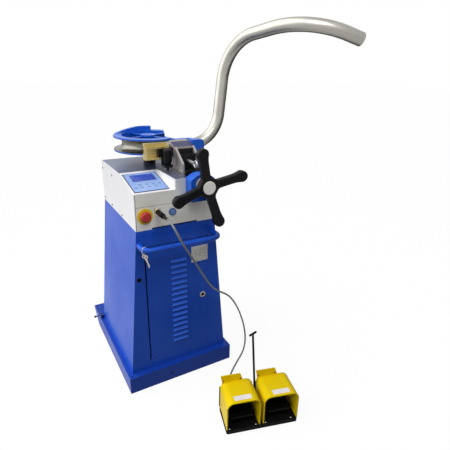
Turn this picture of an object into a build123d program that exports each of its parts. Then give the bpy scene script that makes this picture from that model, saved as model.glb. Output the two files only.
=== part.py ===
"""Mandrelless tube bending machine on a cabinet, with its foot pedal.

Millimetres. The origin is the middle of the plinth on the floor, +Z is up,
the operator stands at -Y and +X is to the operator's right.
"""
import math
import os

from build123d import *

# Sheet metal and fits
sheet = 2.5
running_gap = 0.06
loose_gap = 0.5
body_gap = 0.4

# Plinth
plinth_width = 474.0
plinth_depth = 628.0
plinth_height = 75.0
plinth_wall = 4.0
heel_length = 70.0
heel_lip = 15.0
foot_rail_width = 38.0
foot_rail_height = 6.0
anchor_side_inset = 25.0
anchor_end_inset = 99.0
anchor_radius = 5.5
corner_hole_radius = 4.0
corner_hole_inset = 12.0
lug_size = 16.0
lug_length = 22.0
lug_y = 187.0
side_knob_radius = 5.0
side_knob_stem_radius = 3.0
side_knob_reach = 13.0
side_knob_y = 249.0
side_knob_z = 46.0
front_hole_x = -52.0
front_hole_z = 32.0
front_hole_radius = 6.0

# Cabinet
front_setback = 26.0
cabinet_inset = 19.0
cabinet_height = 632.0
cabinet_rear_slope = 30.0
top_plate_thickness = 8.0
grommet_hole_radius = 8.0
grommet_inset = 17.0
grommet_rise = 432.0
weld_line_width = 1.2
weld_line_depth = 1.0

# Door, its pivots and lock
door_side_margin = 30.5
door_head_gap = 72.0
door_floor_gap = 44.0
door_edge_gap = 3.0
door_hinge_gap = 5.5
door_fold = 18.0
pivot_radius = 4.0
pivot_inset = 7.5
pivot_depth = 10.0
pivot_block = 20.0
pivot_bracket_height = 12.0
lock_inset = 24.5
lock_rise = 251.0
lock_radius = 11.0
lock_rim_radius = 13.0
lock_rim_height = 3.0
cam_length = 40.0
cam_width = 14.0
cam_thickness = 4.0
louvre_count = 16
louvre_pitch = 25.0
louvre_first_rise = 63.0
louvre_centre_x = 3.5
louvre_width = 69.0
louvre_height = 12.0
louvre_rise = 5.0
louvre_skin = 1.5

# Grab bar
bar_radius = 10.0
bar_wall = 2.0
bar_inset = 7.0
bar_reach = 67.0
bar_drop = 55.0
bar_bend = 35.0

# Head
head_width = 326.0
head_depth = 448.0
head_height = 179.0
head_sheet = 3.0
seam_height = 91.0
table_thickness = 24.0
table_bevel = 13.0
console_run = 180.0
console_drop = 37.0
slot_left = -101.0
slot_right = 85.0
slot_height = 6.0
keypad_side_margin = 13.0
keypad_length = 155.0
keypad_thickness = 1.5
keypad_margin = 11.0
keypad_offset = 5.0

# Controls
estop_inset = 38.0
estop_rise = 55.0
estop_collar_radius = 30.0
estop_collar_height = 3.0
estop_cap_radius = 20.0
estop_cap_height = 13.0
estop_cap_gap = 7.0
estop_stem_radius = 8.0
control_barrel_radius = 11.0
control_barrel_length = 30.0
start_inset = 146.0
start_rise = 57.0
start_bezel_radius = 14.5
start_bezel_height = 4.0
start_cap_radius = 10.0
start_cap_rise = 2.5
socket_inset = 86.0
socket_rise = 67.0
socket_flange = 26.0
socket_flange_height = 4.0
socket_barrel_radius = 10.0
plug_nose_radius = 7.5
plug_nose_length = 12.0
plug_radius = 10.0
plug_length = 55.0
relief_radius = 7.0
relief_length = 38.0

# Former, tube and hook
former_x = 15.0
former_setback = 323.0
bend_radius = 135.0
bend_height = 88.0
tube_radius = 24.0
tube_wall = 2.0
tube_start_inset = 6.0
tube_lean = 6.7
tube_rise = 397.0
tube_over_right = 105.0
tube_over_front = 367.0
tube_over_up = 64.0
tube_tail_right = 196.0
tube_tail_front = 54.0
tube_tail_down = 61.0
tube_top_bend = 174.0
tube_end_bend = 250.0
lip_reach = 10.0
lip_thickness = 6.5
rim_width = 33.0
dish_depth = 17.0
hub_radius = 32.0
rib_thickness = 9.0
rib_count = 4
rib_turn = 22.5
crest_start = 66.0
crest_end = 150.0
crest_height = 17.0
crest_thickness = 18.0
former_flat = 75.0
former_flat_turn = 15.5
arm_ramp_start = 43.0
arm_ramp_end = 87.0
arm_depth = 43.0
arm_half_height = 19.0
hook_gap = 3.3
hook_fit = 0.8
hook_crown = 3.2
hook_width = 18.5
hook_wall = 28.0
hook_ear = 33.0
hook_drop = 38.0
hook_corner = 14.0
spacer_radius = 26.0

# Drive train
shaft_radius = 22.0
shaft_square = 30.0
shaft_square_length = 40.0
bush_wall = 8.0
gear_module = 3.0
gear_teeth = 56
pinion_teeth = 16
gear_backlash = 0.5
gear_face_width = 30.0
gear_floor_gap = 22.0
pinion_extra = 3.0
gear_plate_side_gap = 13.0
gear_plate_front_gap = 108.0
gear_plate_rear_gap = 10.0
gear_plate_thickness = 18.0
gear_plate_height = 13.0
pillar_radius = 12.0
pillar_inset = 22.0
motor_radius = 75.0
motor_length = 208.0
motor_flange_radius = 98.0
motor_flange_height = 12.0
motor_shaft_radius = 9.5
motor_shaft_sunk = 60.0
fan_cover_length = 70.0
electrical_width = 220.0
electrical_depth = 90.0
electrical_height = 250.0
electrical_floor_gap = 125.0
electrical_wall = 2.0
gland_radius = 12.0
gland_bore = 5.0
gland_reach = 20.0
gland_x = 120.0
gland_rise = 65.0

# Counter die and carriage
die_width = 92.0
die_side_gap = 17.0
die_body_depth = 37.0
die_front_depth = 55.0
die_lip_gap = 1.0
die_fall = 42.0
die_rise = 22.0
die_front_fall = 38.0
die_front_rise = 12.0
die_frame = 8.0
carriage_inset = 74.0
carriage_width = 84.0
carriage_plate = 8.0
carriage_rear_gap = 3.0
carriage_length = 135.0
carriage_top_length = 45.0
carriage_top_height = 97.0
carriage_nose_height = 45.0
carriage_nose_setback = 17.0
carriage_roof = 8.0
carriage_roof_rise = 13.0
carriage_foot = 50.0
carriage_foot_height = 50.0
pocket_margin = 10.0
pocket_depth = 5.5
slide_base_height = 18.0
slide_block_length = 75.0
slide_block_height = 71.0
slide_step_length = 52.0
tongue_width = 36.0
tongue_length = 30.0
tongue_depth = 40.0
tongue_side_gap = 2.0
rail_width = 8.2
rail_height = 10.0
holder_reach = 60.0
holder_clear = 0.2
shelf_width = 34.0
shelf_reach = 42.0
shelf_thickness = 8.0
shelf_lift = 24.0
bracket_wall = 8.0
knob_inset = 34.0
knob_radius = 17.2
knob_height = 61.5
knob_neck = 12.0
knob_taper = 16.0
knob_pin_radius = 5.0
knob_crown = 8.0
pin_radius = 8.0
pin_height = 45.0
pin_sunk = 36.0
pin_free = 58.0
pin_ring_radius = 13.0
pin_ring_wire = 2.5

# Lead screw and handwheel
screw_drop = 18.0
screw_radius = 12.0
journal_radius = 8.0
nut_width = 98.0
nut_depth = 49.0
nut_height = 81.0
nut_crown = 22.0
thrust_radius = 31.0
thrust_height = 12.0
wheel_gap = 4.0
wheel_radius = 152.5
wheel_hub_radius = 39.0
wheel_boss_radius = 28.0
wheel_boss_height = 7.0
wheel_thickness = 26.0
wheel_dish = 28.0
wheel_arm_width = 32.0
wheel_tip_radius = 21.5
wheel_hub_fillet = 22.0
wheel_tip_fillet = 110.0
wheel_edge = 5.0
wheel_turn = 14.6
wheel_arms = 4
cap_radius = 25.0
cap_height = 3.5

# Foot pedal, in its own directions: across, towards the rear, up
pedal_corner_x = 12.0
pedal_forward = 390.0
pedal_turn = -15.9
pedal_width = 282.0
pedal_depth = 124.0
pedal_base_height = 18.0
guard_widths = (131.0, 138.5)
guard_taper = 3.0
guard_front_height = 124.0
guard_rear_height = 120.0
guard_depth = 118.0
guard_margin = 3.0
guard_side_margin = 0.5
guard_corner = 28.0
guard_wall = 4.0
tab_inset = 2.0
tab_width = 79.0
tab_rise = 31.5
tab_slant = 6.0
tab_spread = 5.0
treadle_width = 98.0
treadle_length = 86.0
treadle_thickness = 8.0
treadle_tilt = 6.0
treadle_pivot_height = 28.0
treadle_pivot_rear = 22.0
treadle_pin_radius = 4.0
handle_radius = 4.2
handle_foot_depth = 84.0
handle_top_depth = 156.0
handle_top_height = 318.0
handle_bar_length = 38.0
handle_bar_radius = 4.3
handle_bar_turn = 29.0
handle_boss_radius = 5.8
handle_boss_height = 130.0
cable_gland_across = 52.0
cable_gland_height = 24.0
cable_gland_radius = 9.0
cable_gland_length = 24.0

# Pedal cable: X, distance in front of the cabinet, and share of the socket's height
cable_radius = 4.0
cable_fall = [
    (-77, 134, 1.0),
    (-70, 160, 0.968),
    (-50, 162, 0.910),
    (-12, 144, 0.830),
    (32, 122, 0.735),
    (76, 99, 0.639),
    (116, 80, 0.565),
    (166, 58, 0.508),
    (222, 30, 0.447),
    (266, 6, 0.370),
    (308, -20, 0.279),
    (341, -41, 0.189),
    (364, -52, 0.106),
    (366, -40, 0.041),
    (345, -11, 0.011),
]
# X and distance in front of the cabinet where the cable lies on the floor
cable_floor = [
    (308, 27),
    (262, 62),
    (216, 98),
]
# X, distance in front of the cabinet, and share of the gland's height
cable_rise = [
    (173, 139, 0.2),
    (142, 182, 0.55),
]

# Levels and planes that follow from the sizes
front_y = front_setback - plinth_depth / 2
rear_y = front_y + head_depth
cabinet_top = plinth_height + cabinet_height
cabinet_base_width = plinth_width - 2 * cabinet_inset
table_top = cabinet_top + head_height
table_floor = table_top - table_thickness
seam_z = cabinet_top + seam_height
half_head = head_width / 2
former_y = front_y + former_setback
estop_x = estop_inset - half_head
estop_z = cabinet_top + estop_rise
start_x = start_inset - half_head
start_z = cabinet_top + start_rise
socket_x = socket_inset - half_head
socket_z = cabinet_top + socket_rise
gland_z = plinth_height + gland_rise
grommet_z = plinth_height + grommet_rise
side_lean = (cabinet_base_width / 2 - half_head) / cabinet_height
grommet_x = grommet_inset - cabinet_base_width / 2 + side_lean * grommet_rise
bar_z = cabinet_top - bar_drop
groove_z = table_top + bend_height
tube_y = former_y - bend_radius
groove_radius = tube_radius + body_gap
former_half = groove_radius + lip_thickness
screw_z = table_top - screw_drop
carriage_x = half_head - carriage_inset
carriage_left = carriage_x - carriage_width / 2
carriage_right = carriage_x + carriage_width / 2
carriage_rear_y = tube_y - tube_radius - carriage_rear_gap
carriage_front_y = carriage_rear_y - carriage_length
door_right = half_head - door_side_margin
door_left = -door_right
door_bottom = plinth_height + door_floor_gap
door_top = cabinet_top - door_head_gap
lock_x = door_right - lock_inset
lock_z = door_bottom + lock_rise
pivot_x = door_left + pivot_inset
pivot_y = front_y + pivot_depth
slope_angle = math.degrees(math.atan2(console_drop, console_run))
pinion_y = former_y - gear_module * (gear_teeth + pinion_teeth) / 2
gear_plate_top = cabinet_top + gear_plate_height + gear_plate_thickness
gear_plate_bottom = cabinet_top + gear_plate_height
gear_bottom = gear_plate_top + gear_floor_gap
gear_plate_half = half_head - gear_plate_side_gap
gear_plate_front = front_y + gear_plate_front_gap
gear_plate_rear = rear_y - gear_plate_rear_gap
hook_left = carriage_right + hook_gap
hook_right = hook_left + hook_width
die_right = carriage_left - die_side_gap
die_left = die_right - die_width


def box(x0, x1, y0, y1, z0, z1):
    """Block between two corners."""
    middle = Pos((x0 + x1) / 2, (y0 + y1) / 2, (z0 + z1) / 2)
    return middle * Box(x1 - x0, y1 - y0, z1 - z0)


def rod_x(y, z, x0, x1, radius):
    """Round bar along X."""
    return Pos((x0 + x1) / 2, y, z) * Rot(0, 90, 0) * Cylinder(radius, x1 - x0)


def rod_y(x, z, y0, y1, radius):
    """Round bar along Y."""
    return Pos(x, (y0 + y1) / 2, z) * Rot(90, 0, 0) * Cylinder(radius, y1 - y0)


def rod_z(x, y, z0, z1, radius):
    """Round bar along Z."""
    return Pos(x, y, (z0 + z1) / 2) * Cylinder(radius, z1 - z0)


def face_of(points):
    """Flat face bounded by straight lines through the points."""
    return make_face(Polyline(*points, close=True))


def prism_x(points, x0, x1):
    """Outline in Y and Z, carried along X."""
    return extrude(Plane.YZ.offset(x0) * face_of(points), amount=x1 - x0)


def prism_y(points, y0, y1):
    """Outline in X and Z, carried along Y."""
    return extrude(Plane.XZ.offset(-y1) * face_of(points), amount=y1 - y0)


def prism_z(points, z0, z1):
    """Outline in X and Y, carried along Z."""
    return extrude(Plane.XY.offset(z0) * face_of(points), amount=z1 - z0)


def plinth():
    """Low base with a slanted heel, open underneath, with two foot rails."""
    half = plinth_width / 2
    deep = plinth_depth / 2
    outside = [
        (-deep, 0),
        (-deep, plinth_height),
        (deep, plinth_height),
        (deep, plinth_height - heel_lip),
        (deep - heel_length, 0),
    ]
    slant = math.atan2(plinth_height - heel_lip, heel_length)
    shift = plinth_wall / math.sin(slant)
    lip = plinth_height - heel_lip + plinth_wall * math.tan(slant / 2)
    inside = [
        (-deep + plinth_wall, 0),
        (-deep + plinth_wall, plinth_height - plinth_wall),
        (deep - plinth_wall, plinth_height - plinth_wall),
        (deep - plinth_wall, lip),
        (deep - heel_length - shift, 0),
    ]
    tray = prism_x(outside, -half, half)
    tray -= prism_x(inside, -half + plinth_wall, half - plinth_wall)
    inner = half - plinth_wall
    rail_rear = deep - heel_length - 2 * shift
    for side in (-1, 1):
        edges = sorted((side * inner, side * (inner - foot_rail_width)))
        tray += box(edges[0], edges[1], -deep + plinth_wall, rail_rear, 0, foot_rail_height)
    for x in (-1, 1):
        for y in (-1, 1):
            anchor = (x * (half - anchor_side_inset), y * (deep - anchor_end_inset))
            tray -= rod_z(*anchor, 0, foot_rail_height, anchor_radius)
            corner = (x * (half - corner_hole_inset), y * (deep - corner_hole_inset))
            tray -= rod_z(*corner, plinth_height - plinth_wall, plinth_height, corner_hole_radius)
    return tray - rod_y(front_hole_x, front_hole_z, -deep, -deep + plinth_wall, front_hole_radius)


def plinth_fittings():
    """Small lug on the plinth's left edge and the knob on its left wall."""
    left = -plinth_width / 2
    lug = box(
        left + 1, left + 1 + lug_size, lug_y - lug_length / 2, lug_y + lug_length / 2,
        plinth_height, plinth_height + lug_size,
    )
    tip = left - side_knob_reach
    stem = rod_x(side_knob_y, side_knob_z, tip, left, side_knob_stem_radius)
    ball = rod_x(side_knob_y, side_knob_z, tip - side_knob_radius, tip + side_knob_radius, side_knob_radius)
    ball = fillet(ball.edges().filter_by(GeomType.CIRCLE), side_knob_radius * 0.7)
    return lug + (stem + ball)


def cabinet_block():
    """Solid of the cabinet's outside: it narrows upwards, and its rear leans forward."""
    low = cabinet_base_width / 2
    sides = [
        (-low, plinth_height),
        (low, plinth_height),
        (half_head, cabinet_top),
        (-half_head, cabinet_top),
    ]
    deep = rear_y + cabinet_rear_slope
    ends = [(front_y, plinth_height), (deep, plinth_height), (rear_y, cabinet_top), (front_y, cabinet_top)]
    return prism_y(sides, front_y, deep) & prism_x(ends, -low, low)


def cabinet_rear_at(z):
    """Y of the cabinet's rear face at a height."""
    return rear_y + cabinet_rear_slope * (cabinet_top - z) / cabinet_height


def cabinet_panels():
    """Left, right, rear and front sheets and the top plate of the cabinet."""
    block = cabinet_block()
    left = block - Pos(sheet, 0, 0) * block
    right = block - Pos(-sheet, 0, 0) * block
    rear = block - Pos(0, -sheet, 0) * block - left - right
    rear -= rod_y(gland_x, gland_z, rear_y, rear_y + 2 * cabinet_rear_slope, gland_radius)
    front = block - Pos(0, sheet, 0) * block - left - right
    front -= box(
        door_left - door_hinge_gap, door_right + door_edge_gap, front_y, front_y + sheet,
        door_bottom - door_edge_gap, door_top + door_edge_gap,
    )
    front -= rod_y(grommet_x, grommet_z, front_y, front_y + sheet, grommet_hole_radius)
    for x in (door_left - door_hinge_gap / 2, door_right + door_edge_gap / 2):
        for z0, z1 in ((plinth_height, door_bottom - door_edge_gap), (door_top + door_edge_gap, cabinet_top)):
            front -= box(
                x - weld_line_width / 2, x + weld_line_width / 2, front_y, front_y + weld_line_depth, z0, z1,
            )
    inner = block - left - right - rear - front
    deep = rear_y + cabinet_rear_slope
    low = cabinet_base_width / 2
    top = inner & box(-low, low, front_y + sheet, deep, cabinet_top - top_plate_thickness, cabinet_top)
    top -= rod_z(
        former_x, pinion_y, cabinet_top - top_plate_thickness, cabinet_top,
        motor_flange_radius + plinth_wall,
    )
    return left, right, rear, front, top


def louvre(z):
    """Raised hood over one air slot, open along its lower edge."""
    half = louvre_width / 2
    hood = prism_x(
        [
            (front_y, z + louvre_height / 2),
            (front_y - louvre_rise, z - louvre_height / 2 + louvre_skin),
            (front_y - louvre_rise, z - louvre_height / 2),
            (front_y, z - louvre_height / 2),
        ],
        louvre_centre_x - half,
        louvre_centre_x + half,
    )
    ends = [edge for edge in hood.edges() if abs(edge.center().Y - front_y) > louvre_rise / 4]
    ends = [edge for edge in ends if abs(edge.tangent_at(0.5).X) < 0.5 and edge.length > louvre_height / 2]
    hood = fillet(ends, louvre_rise * 0.9)
    hollow = prism_x(
        [
            (front_y + sheet, z + louvre_height / 2 - 2 * louvre_skin),
            (front_y, z + louvre_height / 2 - 2 * louvre_skin),
            (front_y - louvre_rise + louvre_skin, z - louvre_height / 2 + louvre_skin),
            (front_y - louvre_rise + louvre_skin, z - louvre_height / 2),
            (front_y + sheet, z - louvre_height / 2),
        ],
        louvre_centre_x - half + louvre_rise + louvre_skin,
        louvre_centre_x + half - louvre_rise - louvre_skin,
    )
    return hood, hollow


def door():
    """Folded door with louvres, pivot blocks at its left corners and a lock hole."""
    fold_y = front_y + door_fold
    pan = box(door_left, door_right, front_y, fold_y, door_bottom, door_top)
    pan -= box(
        door_left + sheet, door_right - sheet, front_y + sheet, fold_y,
        door_bottom + sheet, door_top - sheet,
    )
    for z0, z1 in ((door_bottom, door_bottom + pivot_block), (door_top - pivot_block, door_top)):
        pan += box(door_left, pivot_x + pivot_inset, front_y, fold_y, z0, z1)
    pan -= rod_z(pivot_x, pivot_y, door_bottom, door_top, pivot_radius + running_gap)
    pan -= rod_y(lock_x, lock_z, front_y, front_y + sheet, lock_radius + running_gap)
    for index in range(louvre_count):
        hood, hollow = louvre(door_bottom + louvre_first_rise + index * louvre_pitch)
        pan = pan + hood - hollow
    return pan


def door_pivots():
    """Two brackets behind the front frame, each with the pin that the door turns on."""
    x0 = door_left - door_hinge_gap - 2 * sheet
    x1 = pivot_x + 2 * pivot_radius
    y0 = front_y + sheet
    y1 = front_y + door_fold
    low = door_bottom - door_edge_gap
    high = door_top + door_edge_gap
    lower = box(x0, x1, y0, y1, low - pivot_bracket_height, low)
    lower += rod_z(pivot_x, pivot_y, low, door_bottom + pivot_block, pivot_radius)
    upper = box(x0, x1, y0, y1, high, high + pivot_bracket_height)
    upper += rod_z(pivot_x, pivot_y, door_top - pivot_block, high, pivot_radius)
    return lower + upper


def door_lock():
    """Lock barrel with its rim in front and its cam behind, turned to unlocked."""
    cam_y = front_y + door_fold + sheet
    barrel = rod_y(lock_x, lock_z, front_y, cam_y + cam_thickness, lock_radius)
    barrel += rod_y(lock_x, lock_z, front_y - lock_rim_height, front_y, lock_rim_radius)
    cam = box(
        lock_x - cam_width / 2, lock_x + cam_width / 2, cam_y, cam_y + cam_thickness,
        lock_z - cam_width / 2, lock_z + cam_length,
    )
    key_slot = box(
        lock_x - 1, lock_x + 1, front_y - lock_rim_height, front_y,
        lock_z - lock_radius / 2, lock_z + lock_radius / 2,
    )
    return barrel + cam - key_slot


def grab_bar():
    """Bent tube across the front, above the door."""
    half = half_head - bar_inset
    path = FilletPolyline(
        (-half, front_y, bar_z),
        (-half, front_y - bar_reach, bar_z),
        (half, front_y - bar_reach, bar_z),
        (half, front_y, bar_z),
        radius=bar_bend,
    )
    section = Plane(origin=path @ 0, z_dir=path % 0) * (Circle(bar_radius) - Circle(bar_radius - bar_wall))
    return sweep(section, path=path)


def head_sides():
    """Left panel with the console's slope in its outline, and the plain right panel."""
    outline = [
        (rear_y, cabinet_top),
        (rear_y, table_top),
        (front_y + console_run, table_top),
        (front_y, table_top - console_drop),
        (front_y, cabinet_top),
    ]
    left = prism_x(outline, -half_head, -half_head + head_sheet)
    right_top = table_top - table_bevel
    right = box(half_head - head_sheet, half_head, front_y, rear_y, cabinet_top, right_top)
    return left, right


def head_rear():
    """Rear wall of the head, under the table."""
    inner = half_head - head_sheet
    return box(-inner, inner, rear_y - head_sheet, rear_y, cabinet_top, table_floor)


def control_panel():
    """Lower front panel with holes for the controls and a slot along its lower edge."""
    inner = half_head - head_sheet
    y1 = front_y + head_sheet
    panel = box(-inner, inner, front_y, y1, cabinet_top, seam_z)
    panel -= box(slot_left, slot_right, front_y, y1, cabinet_top, cabinet_top + slot_height)
    for x, z in ((estop_x, estop_z), (start_x, start_z)):
        panel -= rod_y(x, z, front_y, y1, control_barrel_radius)
    panel -= rod_y(socket_x, socket_z, front_y, y1, socket_barrel_radius)
    return panel


def console_underside(y):
    """Height of the console plate's underside at a distance from the front."""
    rise = (y - front_y) * console_drop / console_run
    return table_top - console_drop + rise - head_sheet / math.cos(math.radians(slope_angle))


def upper_front_panel():
    """Upper front panel: low under the console, full height beside it, slotted for the screw."""
    inner = half_head - head_sheet
    low = console_underside(front_y)
    outline = [
        (-inner, seam_z),
        (inner, seam_z),
        (inner, table_top - table_bevel),
        (inner - table_bevel, table_top),
        (0, table_top),
        (0, low),
        (-inner, low),
    ]
    panel = prism_y(outline, front_y, front_y + head_sheet)
    half_slot = tongue_width / 2 + 4 * tongue_side_gap
    slot_floor = table_top - tongue_depth - 3 * tongue_side_gap
    panel -= box(
        carriage_x - half_slot, carriage_x + half_slot, front_y, front_y + head_sheet,
        slot_floor, table_top,
    )
    return panel


def console_plate():
    """Sloped plate under the keypad and the upright wall on its right."""
    inner = half_head - head_sheet
    slope = prism_x(
        [
            (front_y, table_top - console_drop),
            (front_y + console_run, table_top),
            (front_y + console_run, console_underside(front_y + console_run)),
            (front_y, console_underside(front_y)),
        ],
        -inner,
        0,
    )
    wall = prism_x(
        [
            (front_y + head_sheet, console_underside(front_y + head_sheet)),
            (front_y + console_run, console_underside(front_y + console_run)),
            (front_y + console_run, table_top),
            (front_y + head_sheet, table_top),
        ],
        -head_sheet,
        0,
    )
    return slope + wall


def on_slope(across, along, height):
    """Place on the console's slope: X, distance up the slope, height above it."""
    slope = Plane(
        origin=(0, front_y, table_top - console_drop),
        x_dir=(1, 0, 0),
        z_dir=(0, -math.sin(math.radians(slope_angle)), math.cos(math.radians(slope_angle))),
    )
    return slope * Pos(across, along, height)


def keypad():
    """Flat keypad with a sunken window for the display and eight key pads."""
    keypad_width = half_head - head_sheet - 2 * keypad_side_margin
    middle_x = -half_head / 2 - head_sheet / 2 - keypad_offset
    middle_y = keypad_margin + keypad_length / 2
    plate = Box(keypad_width, keypad_length, keypad_thickness)
    plate -= Pos(0, keypad_length / 5, keypad_thickness / 3) * Box(
        keypad_width * 0.8, keypad_length * 0.38, keypad_thickness / 3
    )
    return on_slope(middle_x, middle_y, keypad_thickness / 2) * plate


def table_plate():
    """Thick table with the console's corner cut away, a bevelled right edge, a bore and a slot."""
    inner = half_head - head_sheet
    y0 = front_y + head_sheet
    plate = box(-inner, inner, y0, rear_y, table_floor, table_top)
    plate -= box(-inner, 0, y0, front_y + console_run, table_floor, table_top)
    bevel = [
        (inner - table_bevel, table_top),
        (inner, table_top),
        (inner, table_top - table_bevel),
    ]
    plate -= prism_y(bevel, y0, rear_y)
    plate -= rod_z(former_x, former_y, table_floor, table_top, shaft_radius + bush_wall)
    half_slot = tongue_width / 2 + tongue_side_gap
    slot_rear = carriage_front_y + tongue_length + tongue_side_gap
    plate -= box(carriage_x - half_slot, carriage_x + half_slot, y0, slot_rear, table_floor, table_top)
    return plate


def pillar_places():
    """Middles of the four pillars that hang the gearbox plate under the table."""
    half = gear_plate_half - pillar_inset
    return [
        (side * half, y)
        for side in (-1, 1)
        for y in (front_y + console_run + pillar_inset, gear_plate_rear - pillar_inset)
    ]


def gearbox_plate():
    """Plate under the gears that carries the lower bush and the motor."""
    half = gear_plate_half
    plate = box(-half, half, gear_plate_front, gear_plate_rear, gear_plate_bottom, gear_plate_top)
    plate -= rod_z(former_x, former_y, gear_plate_bottom, gear_plate_top, shaft_radius + bush_wall)
    plate -= rod_z(former_x, pinion_y, gear_plate_bottom, gear_plate_top, motor_shaft_radius + loose_gap)
    return plate


def gearbox_pillars():
    """Four round pillars between the gearbox plate and the table."""
    return Part() + [rod_z(x, y, gear_plate_top, table_floor, pillar_radius) for x, y in pillar_places()]


def shaft_bushes():
    """Upper bush in the table and lower bush in the gearbox plate."""
    bushes = []
    for z0, z1 in ((table_floor, table_top), (gear_plate_bottom, gear_plate_top)):
        ring = rod_z(former_x, former_y, z0, z1, shaft_radius + bush_wall)
        bushes.append(ring - rod_z(former_x, former_y, z0, z1, shaft_radius + running_gap))
    return Part() + bushes


def drive_shaft():
    """Upright shaft with a square top that the former drops onto."""
    square_z = groove_z - former_half
    shaft = rod_z(former_x, former_y, gear_plate_bottom, square_z, shaft_radius)
    half = shaft_square / 2
    shaft += box(
        former_x - half, former_x + half, former_y - half, former_y + half,
        square_z, square_z + shaft_square_length,
    )
    return shaft


def gear_face(teeth, turn):
    """Outline of a spur gear with involute flanks."""
    pitch = gear_module * teeth / 2
    base = pitch * math.cos(math.radians(20))
    tip = pitch + gear_module
    root = pitch - 1.25 * gear_module
    steps = 5
    start = max(base, root)
    radii = [start + (tip - start) * step / steps for step in range(steps + 1)]
    involute = math.tan(math.radians(20)) - math.radians(20)
    half_pitch = math.pi / (2 * teeth) - gear_backlash / (2 * pitch)
    flank = [(root, half_pitch + involute)] if root < base else []
    for radius in radii:
        pressure = math.acos(min(1.0, base / radius))
        flank.append((radius, half_pitch + involute - math.tan(pressure) + pressure))
    points = []
    for tooth in range(teeth):
        middle = math.radians(turn) + 2 * math.pi * tooth / teeth
        for radius, half in flank:
            points.append((radius * math.cos(middle - half), radius * math.sin(middle - half)))
        for radius, half in reversed(flank):
            points.append((radius * math.cos(middle + half), radius * math.sin(middle + half)))
    return face_of(points)


def drive_gear():
    """Large gear keyed on the drive shaft, with a tooth gap facing the pinion."""
    turn = -90 + 180 / gear_teeth
    wheel = extrude(Plane.XY.offset(gear_bottom) * gear_face(gear_teeth, turn), amount=gear_face_width)
    wheel = Pos(former_x, former_y, 0) * wheel
    return wheel - rod_z(former_x, former_y, gear_bottom, gear_bottom + gear_face_width, shaft_radius)


def motor_pinion():
    """Pinion on the motor's shaft, with a tooth facing the gear."""
    z0 = gear_bottom - pinion_extra
    face = Plane.XY.offset(z0) * gear_face(pinion_teeth, 90)
    wheel = extrude(face, amount=gear_face_width + 2 * pinion_extra)
    wheel = Pos(former_x, pinion_y, 0) * wheel
    low = gear_plate_bottom - motor_flange_height - motor_shaft_sunk
    return wheel + rod_z(former_x, pinion_y, low, z0, motor_shaft_radius)


def motor_housing():
    """Motor body with its flange under the gearbox plate."""
    flange_z = gear_plate_bottom - motor_flange_height
    low = flange_z - motor_length
    body = rod_z(former_x, pinion_y, low, flange_z, motor_radius)
    body += rod_z(former_x, pinion_y, flange_z, gear_plate_bottom, motor_flange_radius)
    bore = motor_shaft_radius + running_gap
    return body - rod_z(former_x, pinion_y, flange_z - motor_shaft_sunk - loose_gap, gear_plate_bottom, bore)


def motor_fan_cover():
    """Cup under the motor that covers its fan."""
    top = gear_plate_bottom - motor_flange_height - motor_length
    cup = rod_z(former_x, pinion_y, top - fan_cover_length, top, motor_radius)
    return cup - rod_z(former_x, pinion_y, top - fan_cover_length + sheet, top, motor_radius - sheet)


def electrical_box():
    """Tray for the electrical gear on the inside of the rear panel."""
    z0 = plinth_height + electrical_floor_gap
    z1 = z0 + electrical_height
    front = rear_y - electrical_depth
    half = electrical_width / 2
    wall = electrical_wall

    def outline(inset):
        low = z0 + inset
        high = z1 - inset
        rears = [cabinet_rear_at(z) - sheet - inset for z in (high, low)]
        return [(front, low), (front, high), (rears[0], high), (rears[1], low)]

    return prism_x(outline(0), -half, half) - prism_x(outline(wall), -half + wall, half - wall)


def mains_inlet():
    """Gland in the rear panel for a mains cord."""
    face = cabinet_rear_at(gland_z)
    gland = rod_y(gland_x, gland_z, face - gland_reach, face + gland_reach, gland_radius)
    return gland - rod_y(gland_x, gland_z, face - gland_reach, face + gland_reach, gland_bore)


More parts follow.
